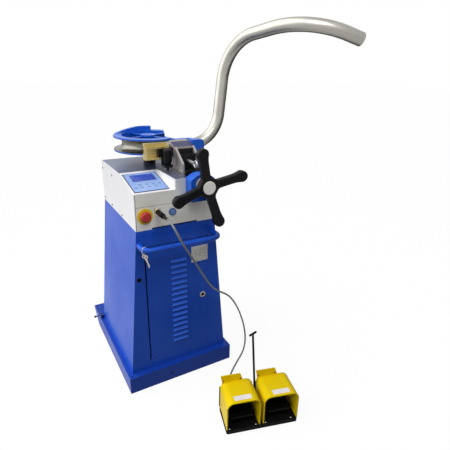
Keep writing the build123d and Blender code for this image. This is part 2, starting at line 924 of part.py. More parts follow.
def former():
    """Grooved wheel with a dished top, a raised crest at the rear, a flat side and the arm."""
    low = groove_z - former_half
    high = groove_z + former_half
    rim = bend_radius + lip_reach
    core = Pos(former_x, former_y, groove_z) * Cylinder(rim, 2 * former_half)
    groove = Torus(bend_radius, groove_radius)
    groove += Cylinder(rim, 2 * groove_radius) - Cylinder(bend_radius, 2 * groove_radius)
    core -= Pos(former_x, former_y, groove_z) * groove
    inner = rim - rim_width
    dish = rod_z(former_x, former_y, high - dish_depth, high, inner)
    dish -= rod_z(former_x, former_y, high - dish_depth, high, hub_radius)
    for index in range(rib_count):
        spoke = Pos(inner / 2, 0, high - dish_depth / 2 - rib_thickness / 4)
        spoke = spoke * Box(inner, rib_thickness, dish_depth - rib_thickness / 2)
        dish -= Pos(former_x, former_y, 0) * Rot(0, 0, rib_turn + index * 360 / rib_count) * spoke
    core -= dish
    crest = rod_z(former_x, former_y, high, high + crest_height, rim)
    crest -= rod_z(former_x, former_y, high, high + crest_height, rim - crest_thickness)
    far = 2 * rim
    middle = (crest_start + crest_end) / 2
    turns = [math.radians(angle) for angle in (crest_start, middle, crest_end)]
    corners = [(far * math.cos(turn), far * math.sin(turn)) for turn in turns]
    crest &= Pos(former_x, former_y, 0) * prism_z([(0, 0)] + corners, high, high + crest_height)
    start_x = former_x + rim * math.cos(math.radians(crest_start))
    end_x = former_x + rim * math.cos(math.radians(crest_end))
    ramp = [(end_x, high), (start_x, high), (start_x, high + crest_height), (former_x, high + crest_height)]
    crest &= prism_y(ramp, former_y, former_y + rim)
    core += crest
    side = box(former_flat, far, -far, far, low, high + crest_height)
    core -= Pos(former_x, former_y, 0) * Rot(0, 0, -former_flat_turn) * side
    arm_front = tube_y + groove_radius * 0.65
    arm_top = groove_z + arm_half_height
    arm = box(
        former_x, hook_left, arm_front, arm_front + arm_depth,
        groove_z - arm_half_height, arm_top,
    )
    slope = [
        (former_x + arm_ramp_start, arm_top),
        (former_x + arm_ramp_end, arm_top),
        (former_x + arm_ramp_start, high),
    ]
    arm += prism_y(slope, arm_front, arm_front + arm_depth)
    core += arm - rod_x(tube_y, groove_z, former_x, hook_left, groove_radius)
    half = shaft_square / 2
    core -= box(
        former_x - half, former_x + half, former_y - half, former_y + half,
        low, low + shaft_square_length,
    )
    return core


def former_hook():
    """Hook at the end of the former's arm: a collar round the tube with an ear beside it."""
    x0 = hook_left
    x1 = hook_right
    low = groove_z - former_half
    bore = tube_radius + hook_fit
    high = groove_z + bore + hook_crown
    front = tube_y - groove_radius - hook_wall
    ear_rear = tube_y - tube_radius - carriage_rear_gap
    rear = tube_y + groove_radius * 0.65 + arm_depth
    collar = box(x0, x1, front, tube_y, low, high)
    collar += rod_x(tube_y, groove_z, x0, x1, bore + hook_crown)
    collar += box(x0, x1, tube_y, rear, groove_z - arm_half_height, groove_z + arm_half_height)
    collar -= rod_x(tube_y, groove_z, x0, x1, bore)
    plate = prism_y(
        [
            (x0, low - hook_drop),
            (x1, low - hook_drop),
            (x1 + hook_ear, low + hook_drop / 6),
            (x1 + hook_ear, high),
            (x0, high),
        ],
        front,
        ear_rear,
    )
    tops = plate.edges().filter_by(Axis.Y).sort_by(Axis.Z)[-2:]
    plate = fillet(tops.sort_by(Axis.X)[-1], hook_corner)
    return collar + plate


def former_spacer():
    """Dark hub between the table and the former."""
    low = table_top + loose_gap
    high = groove_z - former_half
    hub = rod_z(former_x, former_y, low, high, spacer_radius)
    return hub - rod_z(former_x, former_y, low, high, shaft_radius)


def bent_tube():
    """Workpiece: straight in the hook, then up, over to the front and off to the right."""
    corner_x = hook_right - tube_start_inset + bend_radius * math.tan(math.radians(45 - tube_lean / 2))
    lean = tube_rise * math.tan(math.radians(tube_lean))
    top = Vector(corner_x + lean, tube_y, groove_z + tube_rise)
    over = top + Vector(tube_over_right, -tube_over_front, tube_over_up)
    path = FilletPolyline(
        (former_x + loose_gap, tube_y, groove_z),
        (corner_x, tube_y, groove_z),
        top,
        over,
        over + Vector(tube_tail_right, -tube_tail_front, -tube_tail_down),
        radius=[bend_radius, tube_top_bend, tube_end_bend],
    )
    section = Plane(origin=path @ 0, z_dir=path % 0)
    section = section * (Circle(tube_radius) - Circle(tube_radius - tube_wall))
    return sweep(section, path=path)


def counter_die():
    """Brass die with half a groove towards the tube and a framed pocket in front."""
    front = tube_y - die_front_depth
    middle = tube_y - die_body_depth
    rear = former_y - bend_radius - lip_reach - die_lip_gap
    block = box(die_left, die_right, middle, rear, groove_z - die_fall, groove_z + die_rise)
    block -= rod_x(tube_y, groove_z, die_left, die_right, groove_radius)
    low = groove_z - die_front_fall
    high = groove_z + die_front_rise
    frame = box(die_left, die_right, front, middle, low, high)
    frame -= box(die_left + die_frame, die_right, front, middle, low + die_frame, high - die_frame)
    return block + frame


def die_holder():
    """Arm that carries the die from the carriage, with a shelf for the lock knob."""
    front = tube_y - die_front_depth
    right = carriage_left
    low = groove_z - die_front_fall + die_frame
    high = groove_z + die_front_rise - die_frame
    arm = box(
        right - holder_reach, right, front, tube_y - die_body_depth - holder_clear,
        low + holder_clear, high - holder_clear,
    )
    shelf_x = right - knob_inset
    half = shelf_width / 2
    shelf_z = table_top + shelf_lift
    bracket = box(
        shelf_x - half, shelf_x + half, front - bracket_wall, front,
        shelf_z, groove_z,
    )
    shelf = box(
        shelf_x - half, shelf_x + half, front - shelf_reach, front - bracket_wall,
        shelf_z, shelf_z + shelf_thickness,
    )
    hole_y = front - bracket_wall - loose_gap - knob_radius
    hole = rod_z(shelf_x, hole_y, shelf_z, shelf_z + shelf_thickness, knob_pin_radius + running_gap)
    return arm + bracket + shelf - hole


def die_lock_knob():
    """Upright black knob, narrower below, whose pin goes through the holder's shelf."""
    x = carriage_left - knob_inset
    y = tube_y - die_front_depth - bracket_wall - loose_gap - knob_radius
    z0 = table_top + shelf_lift + shelf_thickness
    knob = rod_z(x, y, z0 + knob_taper, z0 + knob_height, knob_radius)
    top_edge = knob.edges().filter_by(GeomType.CIRCLE).sort_by(Axis.Z)[-1]
    knob = fillet(top_edge, knob_crown)
    knob += Pos(x, y, z0 + knob_taper / 2) * Cone(knob_neck, knob_radius, knob_taper)
    return knob + rod_z(x, y, table_top + shelf_lift / 2, z0, knob_pin_radius)


def carriage_frame():
    """Two side plates with sloping noses and low feet under the tube, joined by a tilted roof."""
    left = carriage_left
    right = carriage_right
    low = table_top + loose_gap
    roof_z = table_top + carriage_top_height
    roof_y = carriage_rear_y - carriage_top_length
    ridge_z = roof_z + carriage_roof_rise
    nose_y = carriage_front_y + carriage_nose_setback
    foot_y = carriage_rear_y + carriage_foot
    foot_z = table_top + carriage_foot_height
    outline = [
        (foot_y, low),
        (foot_y, foot_z),
        (carriage_rear_y, foot_z),
        (carriage_rear_y, ridge_z),
        (roof_y, roof_z),
        (nose_y, table_top + carriage_nose_height),
        (nose_y, low),
    ]
    side = prism_x(outline, left, left + carriage_plate)
    pocket_front = nose_y + pocket_margin
    pocket_top = table_top + carriage_nose_height - pocket_margin
    pocket = [
        (roof_y, low + pocket_margin),
        (roof_y, roof_z - pocket_margin),
        (pocket_front, pocket_top),
        (pocket_front, low + pocket_margin),
    ]
    frame = side - prism_x(pocket, left, left + pocket_depth)
    frame += prism_x(outline, right - carriage_plate, right)
    roof = [
        (carriage_rear_y, ridge_z),
        (roof_y, roof_z),
        (roof_y, roof_z - carriage_roof),
        (carriage_rear_y, ridge_z - carriage_roof),
    ]
    return frame + prism_x(roof, left, right)


def carriage_slide():
    """Black slide between the side plates, with a tongue down through the table."""
    left = carriage_left + carriage_plate
    right = carriage_right - carriage_plate
    low = table_top + loose_gap
    slide = box(left, right, carriage_front_y, carriage_rear_y, low, table_top + slide_base_height)
    block_front = carriage_rear_y - slide_block_length
    slide += box(left, right, block_front, carriage_rear_y, low, table_top + slide_block_height)
    slide += box(
        left, right, carriage_rear_y - slide_step_length, carriage_rear_y,
        low, table_top + carriage_top_height - carriage_roof,
    )
    slide += box(
        carriage_x - tongue_width / 2, carriage_x + tongue_width / 2,
        carriage_front_y, carriage_front_y + tongue_length,
        table_top - tongue_depth, table_top + slide_base_height,
    )
    slide -= rod_y(carriage_x, table_top + pin_height, block_front, block_front + pin_sunk + loose_gap,
                   pin_radius + running_gap)
    slide -= rod_y(carriage_x, screw_z, carriage_front_y, carriage_front_y + tongue_length,
                   journal_radius + running_gap)
    return slide


def slide_rails():
    """Two low rails on the table that guide the carriage."""
    rails = []
    for side in (-1, 1):
        near = carriage_x + side * (carriage_width / 2 + loose_gap / 2)
        edges = sorted((near, near + side * rail_width))
        rails.append(box(
            edges[0], edges[1], front_y + head_sheet + rail_height, carriage_rear_y,
            table_top, table_top + rail_height,
        ))
    return Part() + rails


def pull_pin():
    """Spring pin in the carriage with a pull ring at its front."""
    block_front = carriage_rear_y - slide_block_length
    z = table_top + pin_height
    tip = block_front - pin_free
    pin = rod_y(carriage_x, z, tip, block_front + pin_sunk, pin_radius)
    ring = Pos(carriage_x, tip - pin_ring_radius, z) * Rot(0, 90, 0) * Torus(pin_ring_radius, pin_ring_wire)
    return pin + ring


def nut_block():
    """Blue block with an arched top, on the front of the head, that holds the lead screw's nut."""
    left = carriage_x - nut_width / 2
    right = carriage_x + nut_width / 2
    low = table_top - nut_height
    sides = Polyline((left, table_top), (left, low), (right, low), (right, table_top))
    crown = ThreePointArc((right, table_top), (carriage_x, table_top + nut_crown), (left, table_top))
    outline = make_face([*sides.edges(), crown])
    block = extrude(Plane.XZ.offset(-front_y) * outline, amount=nut_depth)
    return block - rod_y(carriage_x, screw_z, front_y - nut_depth, front_y, screw_radius + running_gap)


def thrust_flange():
    """Bare steel flange round the screw on the nut block's face."""
    y1 = front_y - nut_depth
    ring = rod_y(carriage_x, screw_z, y1 - thrust_height, y1, thrust_radius)
    return ring - rod_y(carriage_x, screw_z, y1 - thrust_height, y1, screw_radius + loose_gap)


def wheel_rear():
    """Y of the handwheel boss's rear face."""
    return front_y - nut_depth - thrust_height - wheel_gap


def lead_screw():
    """Screw from the handwheel through the nut to the carriage's tongue."""
    shoulder = carriage_front_y - loose_gap
    hub_front = wheel_rear() - wheel_boss_height - wheel_thickness / 2
    screw = rod_y(carriage_x, screw_z, hub_front, shoulder, screw_radius)
    return screw + rod_y(carriage_x, screw_z, shoulder, carriage_front_y + tongue_length, journal_radius)


def handwheel():
    """Moulded wheel with lobed arms that lean towards the operator and a boss behind."""
    tip_place = wheel_radius - wheel_tip_radius
    outline = Circle(wheel_hub_radius)
    for index in range(wheel_arms):
        arm = Pos(tip_place / 2, 0) * Rectangle(tip_place, wheel_arm_width)
        arm += Pos(tip_place, 0) * Circle(wheel_tip_radius)
        outline += Rot(0, 0, wheel_turn + index * 360 / wheel_arms) * arm
    reach = math.hypot(wheel_hub_radius, wheel_arm_width)
    corners = [v for v in outline.vertices() if Vector(v).length < reach]
    outline = fillet(corners, wheel_hub_fillet)
    tips = [v for v in outline.vertices() if tip_place - wheel_tip_radius < Vector(v).length < tip_place]
    outline = fillet(tips, wheel_tip_fillet)
    front = wheel_rear() - wheel_boss_height - wheel_thickness
    depth = wheel_thickness + wheel_dish
    plate = extrude(Plane.XZ.offset(-front - wheel_thickness) * outline, amount=depth)
    lean = [
        (0, front),
        (cap_radius, front),
        (wheel_radius, front - wheel_dish),
        (wheel_radius, front - wheel_dish + wheel_thickness),
        (cap_radius, front + wheel_thickness),
        (0, front + wheel_thickness),
    ]
    plate &= revolve(face_of(lean), Axis.Y)
    rims = [edge for edge in plate.edges() if abs(edge.tangent_at(0.5).Y) < 0.5]
    rims = [edge for edge in rims if Vector(edge.center().X, 0, edge.center().Z).length > cap_radius]
    plate = fillet(rims, wheel_edge)
    wheel = Pos(carriage_x, 0, screw_z) * plate
    wheel += rod_y(carriage_x, screw_z, front + wheel_thickness, wheel_rear(), wheel_boss_radius)
    return wheel - rod_y(carriage_x, screw_z, front + wheel_thickness / 2, wheel_rear(), screw_radius)


def hub_cap():
    """Plain light disc on the handwheel's front."""
    front = wheel_rear() - wheel_boss_height - wheel_thickness
    disc = rod_y(carriage_x, screw_z, front - cap_height, front, cap_radius)
    rim = disc.edges().filter_by(GeomType.CIRCLE).sort_by(Axis.Y)[0]
    return fillet(rim, cap_height / 2)


def barrel_behind(x, z, bore):
    """Barrel of a control behind the panel, with the bore that its button slides in."""
    y1 = front_y + control_barrel_length
    return rod_y(x, z, front_y, y1, control_barrel_radius) - rod_y(x, z, front_y, y1, bore)


def estop_collar():
    """Yellow collar of the emergency stop with its barrel."""
    bore = estop_stem_radius + running_gap
    collar = rod_y(estop_x, estop_z, front_y - estop_collar_height, front_y, estop_collar_radius)
    collar -= rod_y(estop_x, estop_z, front_y - estop_collar_height, front_y, bore)
    return collar + barrel_behind(estop_x, estop_z, bore)


def estop_button():
    """Red mushroom button and its stem."""
    rear = front_y - estop_cap_gap
    cap = rod_y(estop_x, estop_z, rear - estop_cap_height, rear, estop_cap_radius)
    rim = cap.edges().filter_by(GeomType.CIRCLE).sort_by(Axis.Y)[0]
    cap = fillet(rim, estop_cap_height * 0.6)
    return cap + rod_y(estop_x, estop_z, rear, front_y + control_barrel_length / 2, estop_stem_radius)


def start_bezel():
    """Ring of the start button with its barrel."""
    bore = start_cap_radius + running_gap
    ring = rod_y(start_x, start_z, front_y - start_bezel_height, front_y, start_bezel_radius)
    ring -= rod_y(start_x, start_z, front_y - start_bezel_height, front_y, bore)
    return ring + barrel_behind(start_x, start_z, bore)


def start_button():
    """Blue push button inside its bezel."""
    front = front_y - start_bezel_height - start_cap_rise
    return rod_y(start_x, start_z, front, front_y + control_barrel_length / 2, start_cap_radius)


def cable_socket():
    """Square-flanged socket for the pedal's plug."""
    half = socket_flange / 2
    y0 = front_y - socket_flange_height
    body = box(socket_x - half, socket_x + half, y0, front_y, socket_z - half, socket_z + half)
    body += rod_y(socket_x, socket_z, front_y, front_y + control_barrel_length, socket_barrel_radius)
    return body - rod_y(socket_x, socket_z, y0, y0 + plug_nose_length, plug_nose_radius)


def plug_end_y():
    """Y where the cable leaves the plug's strain relief."""
    return front_y - socket_flange_height - plug_length - relief_length


def cable_plug():
    """Straight plug in the socket with a tapered strain relief."""
    y1 = front_y - socket_flange_height
    body = rod_y(socket_x, socket_z, y1 - plug_length, y1, plug_radius)
    body += rod_y(socket_x, socket_z, y1, y1 + plug_nose_length, plug_nose_radius)
    taper = Rot(90, 0, 0) * Cone(relief_radius, cable_radius + 1, relief_length)
    return body + Pos(socket_x, y1 - plug_length - relief_length / 2, socket_z) * taper


def pedal_place():
    """Where the foot pedal stands on the floor."""
    return Location((pedal_corner_x, front_y - pedal_forward, 0), (0, 0, pedal_turn))


def guard_left_edge(index):
    """Across place of a guard's left edge at its front: 0 is the left guard, 1 the right."""
    if index == 0:
        return guard_side_margin
    return pedal_width - guard_side_margin - guard_widths[index]


def guard_middle(index):
    """Across place of a guard's middle."""
    return guard_left_edge(index) + guard_widths[index] / 2


def guard_section(width, height, depth, inset, centre):
    """Arch-shaped section of a guard at a depth."""
    half = width / 2 - inset
    top = pedal_base_height + height - inset
    corner = guard_corner - inset
    low = pedal_base_height
    outline = Polyline((-half, top - corner), (-half, low), (half, low), (half, top - corner))
    arch = Line((-half + corner, top), (half - corner, top))
    left = RadiusArc((-half, top - corner), (-half + corner, top), corner)
    right = RadiusArc((half - corner, top), (half, top - corner), corner)
    face = make_face([*outline.edges(), left, arch, right])
    return Pos(centre, depth, 0) * (Rot(90, 0, 0) * face)


def pedal_guard(index):
    """Yellow hood over one treadle: open in front and below, with a slanted tab at the rear."""
    centre = guard_middle(index)
    width = guard_widths[index]
    rear_width = width - guard_taper
    rear = guard_margin + guard_depth
    shell = loft([
        guard_section(width, guard_front_height, guard_margin, 0, centre),
        guard_section(rear_width, guard_rear_height, rear, 0, centre),
    ])
    hollow = loft([
        guard_section(width, guard_front_height, guard_margin, guard_wall, centre),
        guard_section(rear_width, guard_rear_height, rear, guard_wall, centre),
    ])
    hollow -= box(
        centre - width, centre + width, rear - guard_wall, rear + guard_wall,
        0, guard_front_height + pedal_base_height,
    )
    tab_z = pedal_base_height + guard_rear_height
    tab_left = guard_left_edge(index) + tab_inset
    foot_left = tab_left + tab_slant
    foot_right = foot_left + tab_width + tab_spread
    tab = prism_y(
        [
            (tab_left, tab_z + tab_rise),
            (tab_left + tab_width, tab_z + tab_rise),
            (foot_right, tab_z),
            (foot_right, tab_z - guard_corner / 2),
            (foot_left, tab_z - guard_corner / 2),
            (foot_left, tab_z),
        ],
        rear - guard_wall,
        rear,
    )
    hood = shell - hollow + tab
    pin_y = rear - treadle_pivot_rear
    pin_z = pedal_base_height + treadle_pivot_height
    hood -= rod_x(pin_y, pin_z, centre - width, centre + width, treadle_pin_radius + running_gap)
    if index == 0:
        hood -= rod_y(cable_gland_across, pedal_base_height + cable_gland_height, rear - guard_wall, rear,
                      cable_gland_radius)
    return pedal_place() * hood


def treadle(index):
    """Black treadle that tips about a cross pin in the guard's walls."""
    rear = guard_margin + guard_depth
    pin_y = rear - treadle_pivot_rear
    pin_z = pedal_base_height + treadle_pivot_height
    share = (pin_y - guard_margin) / guard_depth
    pin_half = (guard_widths[index] - guard_taper * share) / 2
    plate = Pos(0, -treadle_length / 2 + treadle_pivot_rear / 4, 0) * Box(
        treadle_width, treadle_length, treadle_thickness
    )
    plate = fillet(plate.edges().filter_by(Axis.Z), treadle_thickness)
    board = plate + rod_x(0, 0, -treadle_width / 2, treadle_width / 2, treadle_pin_radius + 2)
    board = Rot(-treadle_tilt, 0, 0) * board
    board += rod_x(0, 0, -pin_half, pin_half, treadle_pin_radius)
    return pedal_place() * (Pos(guard_middle(index), pin_y, pin_z) * board)


def pedal_base():
    """Black base plate of the foot pedal with rounded corners."""
    plate = box(0, pedal_width, 0, pedal_depth, 0, pedal_base_height)
    plate = fillet(plate.edges().filter_by(Axis.Z), 2 * guard_wall)
    return pedal_place() * plate


def pedal_handle():
    """Leaning rod between the guards with a cross bar on top."""
    middle = (guard_left_edge(0) + guard_widths[0] + guard_left_edge(1)) / 2
    lean = handle_top_depth - handle_foot_depth
    rise = handle_top_height - pedal_base_height
    angle = math.degrees(math.atan2(lean, rise))
    length = math.hypot(lean, rise)
    rod = Pos(0, 0, length / 2) * Cylinder(handle_radius, length)
    boss = Pos(0, 0, handle_boss_height / 2) * Cone(handle_boss_radius, handle_radius, handle_boss_height)
    stick = Pos(middle, handle_foot_depth, pedal_base_height) * Rot(-angle, 0, 0) * (rod + boss)
    foot_top = pedal_base_height + guard_wall
    stick += rod_z(middle, handle_foot_depth, pedal_base_height, foot_top, handle_boss_radius)
    stick -= box(
        middle - handle_boss_height, middle + handle_boss_height, 0, pedal_depth, 0, pedal_base_height,
    )
    bar = rod_x(0, 0, -handle_bar_length / 2, handle_bar_length / 2, handle_bar_radius)
    bar = Rot(0, 0, handle_bar_turn) * bar
    bar = fillet(bar.edges().filter_by(GeomType.CIRCLE), handle_bar_radius / 2)
    stick += Pos(middle, handle_top_depth, handle_top_height) * bar
    return pedal_place() * stick


def gland_outer_y():
    """Depth of the cable gland's outer face behind the pedal's front edge."""
    return guard_margin + guard_depth + cable_gland_length


def pedal_gland():
    """Gland in the rear of the left guard that the cable goes into."""
    z = pedal_base_height + cable_gland_height
    wall = guard_margin + guard_depth - guard_wall
    return pedal_place() * rod_y(cable_gland_across, z, wall, gland_outer_y(), cable_gland_radius)


def pedal_cable():
    """Flexible cable from the plug, over the floor, to the pedal's gland."""
    z = pedal_base_height + cable_gland_height
    end = pedal_place() * Pos(cable_gland_across, gland_outer_y(), z)
    out = pedal_place() * Pos(cable_gland_across, gland_outer_y() + 8 * cable_radius, z)
    route = [Vector(socket_x, plug_end_y(), socket_z)]
    route += [Vector(x, front_y - ahead, share * socket_z) for x, ahead, share in cable_fall]
    route += [Vector(x, front_y - ahead, cable_radius) for x, ahead in cable_floor]
    route += [Vector(x, front_y - ahead, share * z) for x, ahead, share in cable_rise]
    route += [out.position, end.position]
    radii = []
    for before, point, after in zip(route, route[1:], route[2:]):
        turn = (point - before).get_angle(after - point)
        shorter = min((point - before).length, (after - point).length)
        radii.append(0.45 * shorter / math.tan(math.radians(turn / 2)))
    path = FilletPolyline(*route, radius=radii)
    tube = sweep(Plane(origin=path @ 0, z_dir=path % 0) * Circle(cable_radius), path=path)
    print("cable runs", [round((b - a).length) for a, b in zip(route, route[1:])])
    print("cable radii", [round(radius) for radius in radii])
    section_area = math.pi * cable_radius**2
    print("cable length", round(path.length), "volume ratio", tube.volume / (path.length * section_area))
    return tube


def all_parts():
    """Every piece by its name."""
    left, right, rear, front, top = cabinet_panels()
    head_left, head_right = head_sides()
    return {
        "plinth": plinth(),
        "plinth_fittings": plinth_fittings(),
        "cabinet_left_panel": left,
        "cabinet_right_panel": right,
        "cabinet_rear_panel": rear,
        "cabinet_front_frame": front,
        "cabinet_top_plate": top,
        "door": door(),
        "door_pivots": door_pivots(),
        "door_lock": door_lock(),
        "grab_bar": grab_bar(),
        "head_left_panel": head_left,
        "head_right_panel": head_right,
        "head_rear_panel": head_rear(),
        "control_panel": control_panel(),
        "upper_front_panel": upper_front_panel(),
        "console_plate": console_plate(),
        "keypad": keypad(),
        "table_plate": table_plate(),
        "gearbox_plate": gearbox_plate(),
        "gearbox_pillars": gearbox_pillars(),
        "shaft_bushes": shaft_bushes(),
        "drive_shaft": drive_shaft(),
        "drive_gear": drive_gear(),
        "motor_pinion": motor_pinion(),
        "motor_housing": motor_housing(),
        "motor_fan_cover": motor_fan_cover(),
        "electrical_box": electrical_box(),
        "mains_inlet": mains_inlet(),
        "former": former(),
        "former_hook": former_hook(),
        "former_spacer": former_spacer(),
        "bent_tube": bent_tube(),
        "counter_die": counter_die(),
        "die_holder": die_holder(),
        "die_lock_knob": die_lock_knob(),
        "carriage_frame": carriage_frame(),
        "carriage_slide": carriage_slide(),
        "slide_rails": slide_rails(),
        "pull_pin": pull_pin(),
        "nut_block": nut_block(),
        "thrust_flange": thrust_flange(),
        "lead_screw": lead_screw(),
        "handwheel": handwheel(),
        "hub_cap": hub_cap(),
        "estop_collar": estop_collar(),
        "estop_button": estop_button(),
        "start_bezel": start_bezel(),
        "start_button": start_button(),
        "cable_socket": cable_socket(),
        "cable_plug": cable_plug(),
        "pedal_cable": pedal_cable(),
        "pedal_base": pedal_base(),
        "pedal_guard_left": pedal_guard(0),
        "pedal_guard_right": pedal_guard(1),
        "treadle_left": treadle(0),
        "treadle_right": treadle(1),
        "pedal_handle": pedal_handle(),
        "pedal_gland": pedal_gland(),
    }


os.makedirs("parts", exist_ok=True)
for part_name, piece in all_parts().items():
    export_step(piece, f"parts/{part_name}.step")
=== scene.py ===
"""Dressed model of a mandrelless tube bending machine with its foot pedal.

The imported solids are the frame. This script gives each of them its finish and
adds the small pieces that ride on them. Metres, in the frame of the solids.
"""
import logging
import math
from dataclasses import dataclass, field
from enum import Enum
from typing import Callable, Iterable, Sequence

import bmesh
import bpy
from mathutils import Matrix, Vector


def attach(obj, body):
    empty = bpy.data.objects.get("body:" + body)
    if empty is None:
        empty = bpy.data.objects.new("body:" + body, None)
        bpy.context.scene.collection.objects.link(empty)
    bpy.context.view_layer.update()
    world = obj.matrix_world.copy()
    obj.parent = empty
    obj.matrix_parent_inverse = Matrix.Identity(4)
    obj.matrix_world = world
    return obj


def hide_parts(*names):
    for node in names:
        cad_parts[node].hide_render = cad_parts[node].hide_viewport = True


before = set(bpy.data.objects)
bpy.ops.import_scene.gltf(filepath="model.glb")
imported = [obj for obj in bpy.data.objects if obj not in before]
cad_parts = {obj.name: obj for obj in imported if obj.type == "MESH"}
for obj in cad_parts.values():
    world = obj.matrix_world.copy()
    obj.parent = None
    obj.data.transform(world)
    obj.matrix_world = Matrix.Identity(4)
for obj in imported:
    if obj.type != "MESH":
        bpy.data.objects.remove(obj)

log = logging.getLogger("bender")

Pair = tuple[float, float]
Point = tuple[float, float, float]
# Linear red, green, blue and alpha
Colour = tuple[float, float, float, float]
# Width, depth, height and corner radius
Pad = tuple[float, float, float, float]
Socket = bpy.types.NodeSocket
Feed = Socket | float | Sequence[float] | bpy.types.Material
Build = Callable[[bmesh.types.BMesh], None]

MM = 0.001
PLAIN_WHITE: Colour = (1.0, 1.0, 1.0, 1.0)
ORIGIN: Point = (0.0, 0.0, 0.0)
FORWARD: Point = (0.0, -1.0, 0.0)
BACKWARD: Point = (0.0, 1.0, 0.0)
LEFTWARD: Point = (-1.0, 0.0, 0.0)
UPWARD: Point = (0.0, 0.0, 1.0)
# Turns of a repeated shape that faces up or forward
FACE_UP: Point = (0.0, 0.0, 0.0)
FACE_FORWARD: Point = (math.pi / 2, 0.0, 0.0)
# Y of the front sheets of cabinet and head
FRONT_FACE = -0.288
# Distance within which points are merged, and length of an edge that is removed
WELD = 1e-6
SLIVER = 1e-7
# Steps across a softened edge, and how full its curve is
EDGE_STEPS = 2
EDGE_FULLNESS = 0.6
# Steps between a curve's control points, and how many of them shape each stretch
CURVE_STEPS = 8
CURVE_ORDER = 3
# Places of the colour sockets on a Mix node
MIX_MASK, MIX_BELOW, MIX_ABOVE, MIX_RESULT = 0, 6, 7, 2


def opaque(parts: Iterable[float]) -> Colour:
    """Give three colour parts full alpha."""
    return (*parts, 1.0)


def srgb(red: int, green: int, blue: int) -> Colour:
    """Turn a display colour of 0 to 255 into the linear colour that sockets take.

    Args:
        red: Red part.
        green: Green part.
        blue: Blue part.

    Returns:
        The linear colour with full alpha.
    """
    def linear(value: int) -> float:
        """Linear value of one part."""
        share = value / 255
        return share / 12.92 if share <= 0.04045 else ((share + 0.055) / 1.055) ** 2.4

    return opaque((linear(red), linear(green), linear(blue)))


def metres(points: Iterable[Sequence[float]]) -> list[tuple[float, ...]]:
    """Turn points in millimetres into metres."""
    return [tuple(part * MM for part in point) for point in points]


def show(name: str, data: bpy.types.ID) -> bpy.types.Object:
    """Put a mesh, curve, lamp or camera in the scene.

    Args:
        name: Name of the object.
        data: What the object holds.

    Returns:
        The object.
    """
    made = bpy.data.objects.new(name, data)
    bpy.context.scene.collection.objects.link(made)
    return made


class Grain(Enum):
    """Direction that a brushed metal's lines run in."""

    ALONG_X = (0.02, 1.0, 1.0)
    ALONG_Y = (1.0, 0.02, 1.0)
    ALONG_Z = (1.0, 1.0, 0.02)
    ROUND_Z = (0.02, 0.02, 1.0)
    ROUND_Y = (0.02, 1.0, 0.02)
    EVEN = (1.0, 1.0, 1.0)


# Node trees


class TreeBuilder:
    """Adds nodes to a node tree, each with its settings and what feeds it."""

    def __init__(self, tree: bpy.types.NodeTree) -> None:
        """Work on a tree."""
        self.tree = tree

    def feed(self, end: Socket, value: Feed) -> None:
        """Link an input to another node, or set it to a plain value.

        Args:
            end: The input.
            value: Output of another node, or a plain value.
        """
        if isinstance(value, Socket):
            self.tree.links.new(value, end)
        else:
            end.default_value = value

    def node(
        self, kind: str, feeds: dict[str, Feed] | dict[int, Feed] | None = None, **settings: object
    ) -> bpy.types.Node:
        """Add a node.

        Args:
            kind: Node type.
            feeds: What feeds its inputs, by their name or number.
            settings: Properties of the node.

        Returns:
            The node.
        """
        made = self.tree.nodes.new(kind)
        for key, value in settings.items():
            setattr(made, key, value)
        for key, value in (feeds or {}).items():
            self.feed(made.inputs[key], value)
        return made

    def number(self, operation: str, *values: Feed) -> Socket:
        """Work out a number from other numbers, taken in order."""
        return self.node("ShaderNodeMath", dict(enumerate(values)), operation=operation).outputs[0]

    def vector(self, operation: str, *values: Feed) -> Socket:
        """Work out a vector, a length or a dot product from vectors, taken in order."""
        made = self.node("ShaderNodeVectorMath", dict(enumerate(values)), operation=operation)
        return made.outputs["Value" if operation in ("LENGTH", "DOT_PRODUCT") else "Vector"]

    def place(self) -> Socket:
        """Give the place on the piece, in metres."""
        return self.node("ShaderNodeTexCoord").outputs["Object"]

    def along(self, axis: str) -> Socket:
        """Give the place on the piece along X, Y or Z."""
        return self.node("ShaderNodeSeparateXYZ", {0: self.place()}).outputs[axis]

    def noise(self, scale: Feed, detail: float = 2.0, place: Socket | None = None) -> bpy.types.Node:
        """Add soft noise, read at the place on the piece if no other place is given."""
        feeds = {"Vector": place or self.place(), "Scale": scale, "Detail": detail}
        return self.node("ShaderNodeTexNoise", feeds)

    def ranged(
        self, value: Socket, low: Feed, high: Feed, start: Feed = 0.0, end: Feed = 1.0
    ) -> Socket:
        """Spread a value, so that it is low at the start and before it, and high at the end and past it."""
        feeds = {"Value": value, "From Min": start, "From Max": end, "To Min": low, "To Max": high}
        return self.node("ShaderNodeMapRange", feeds).outputs["Result"]


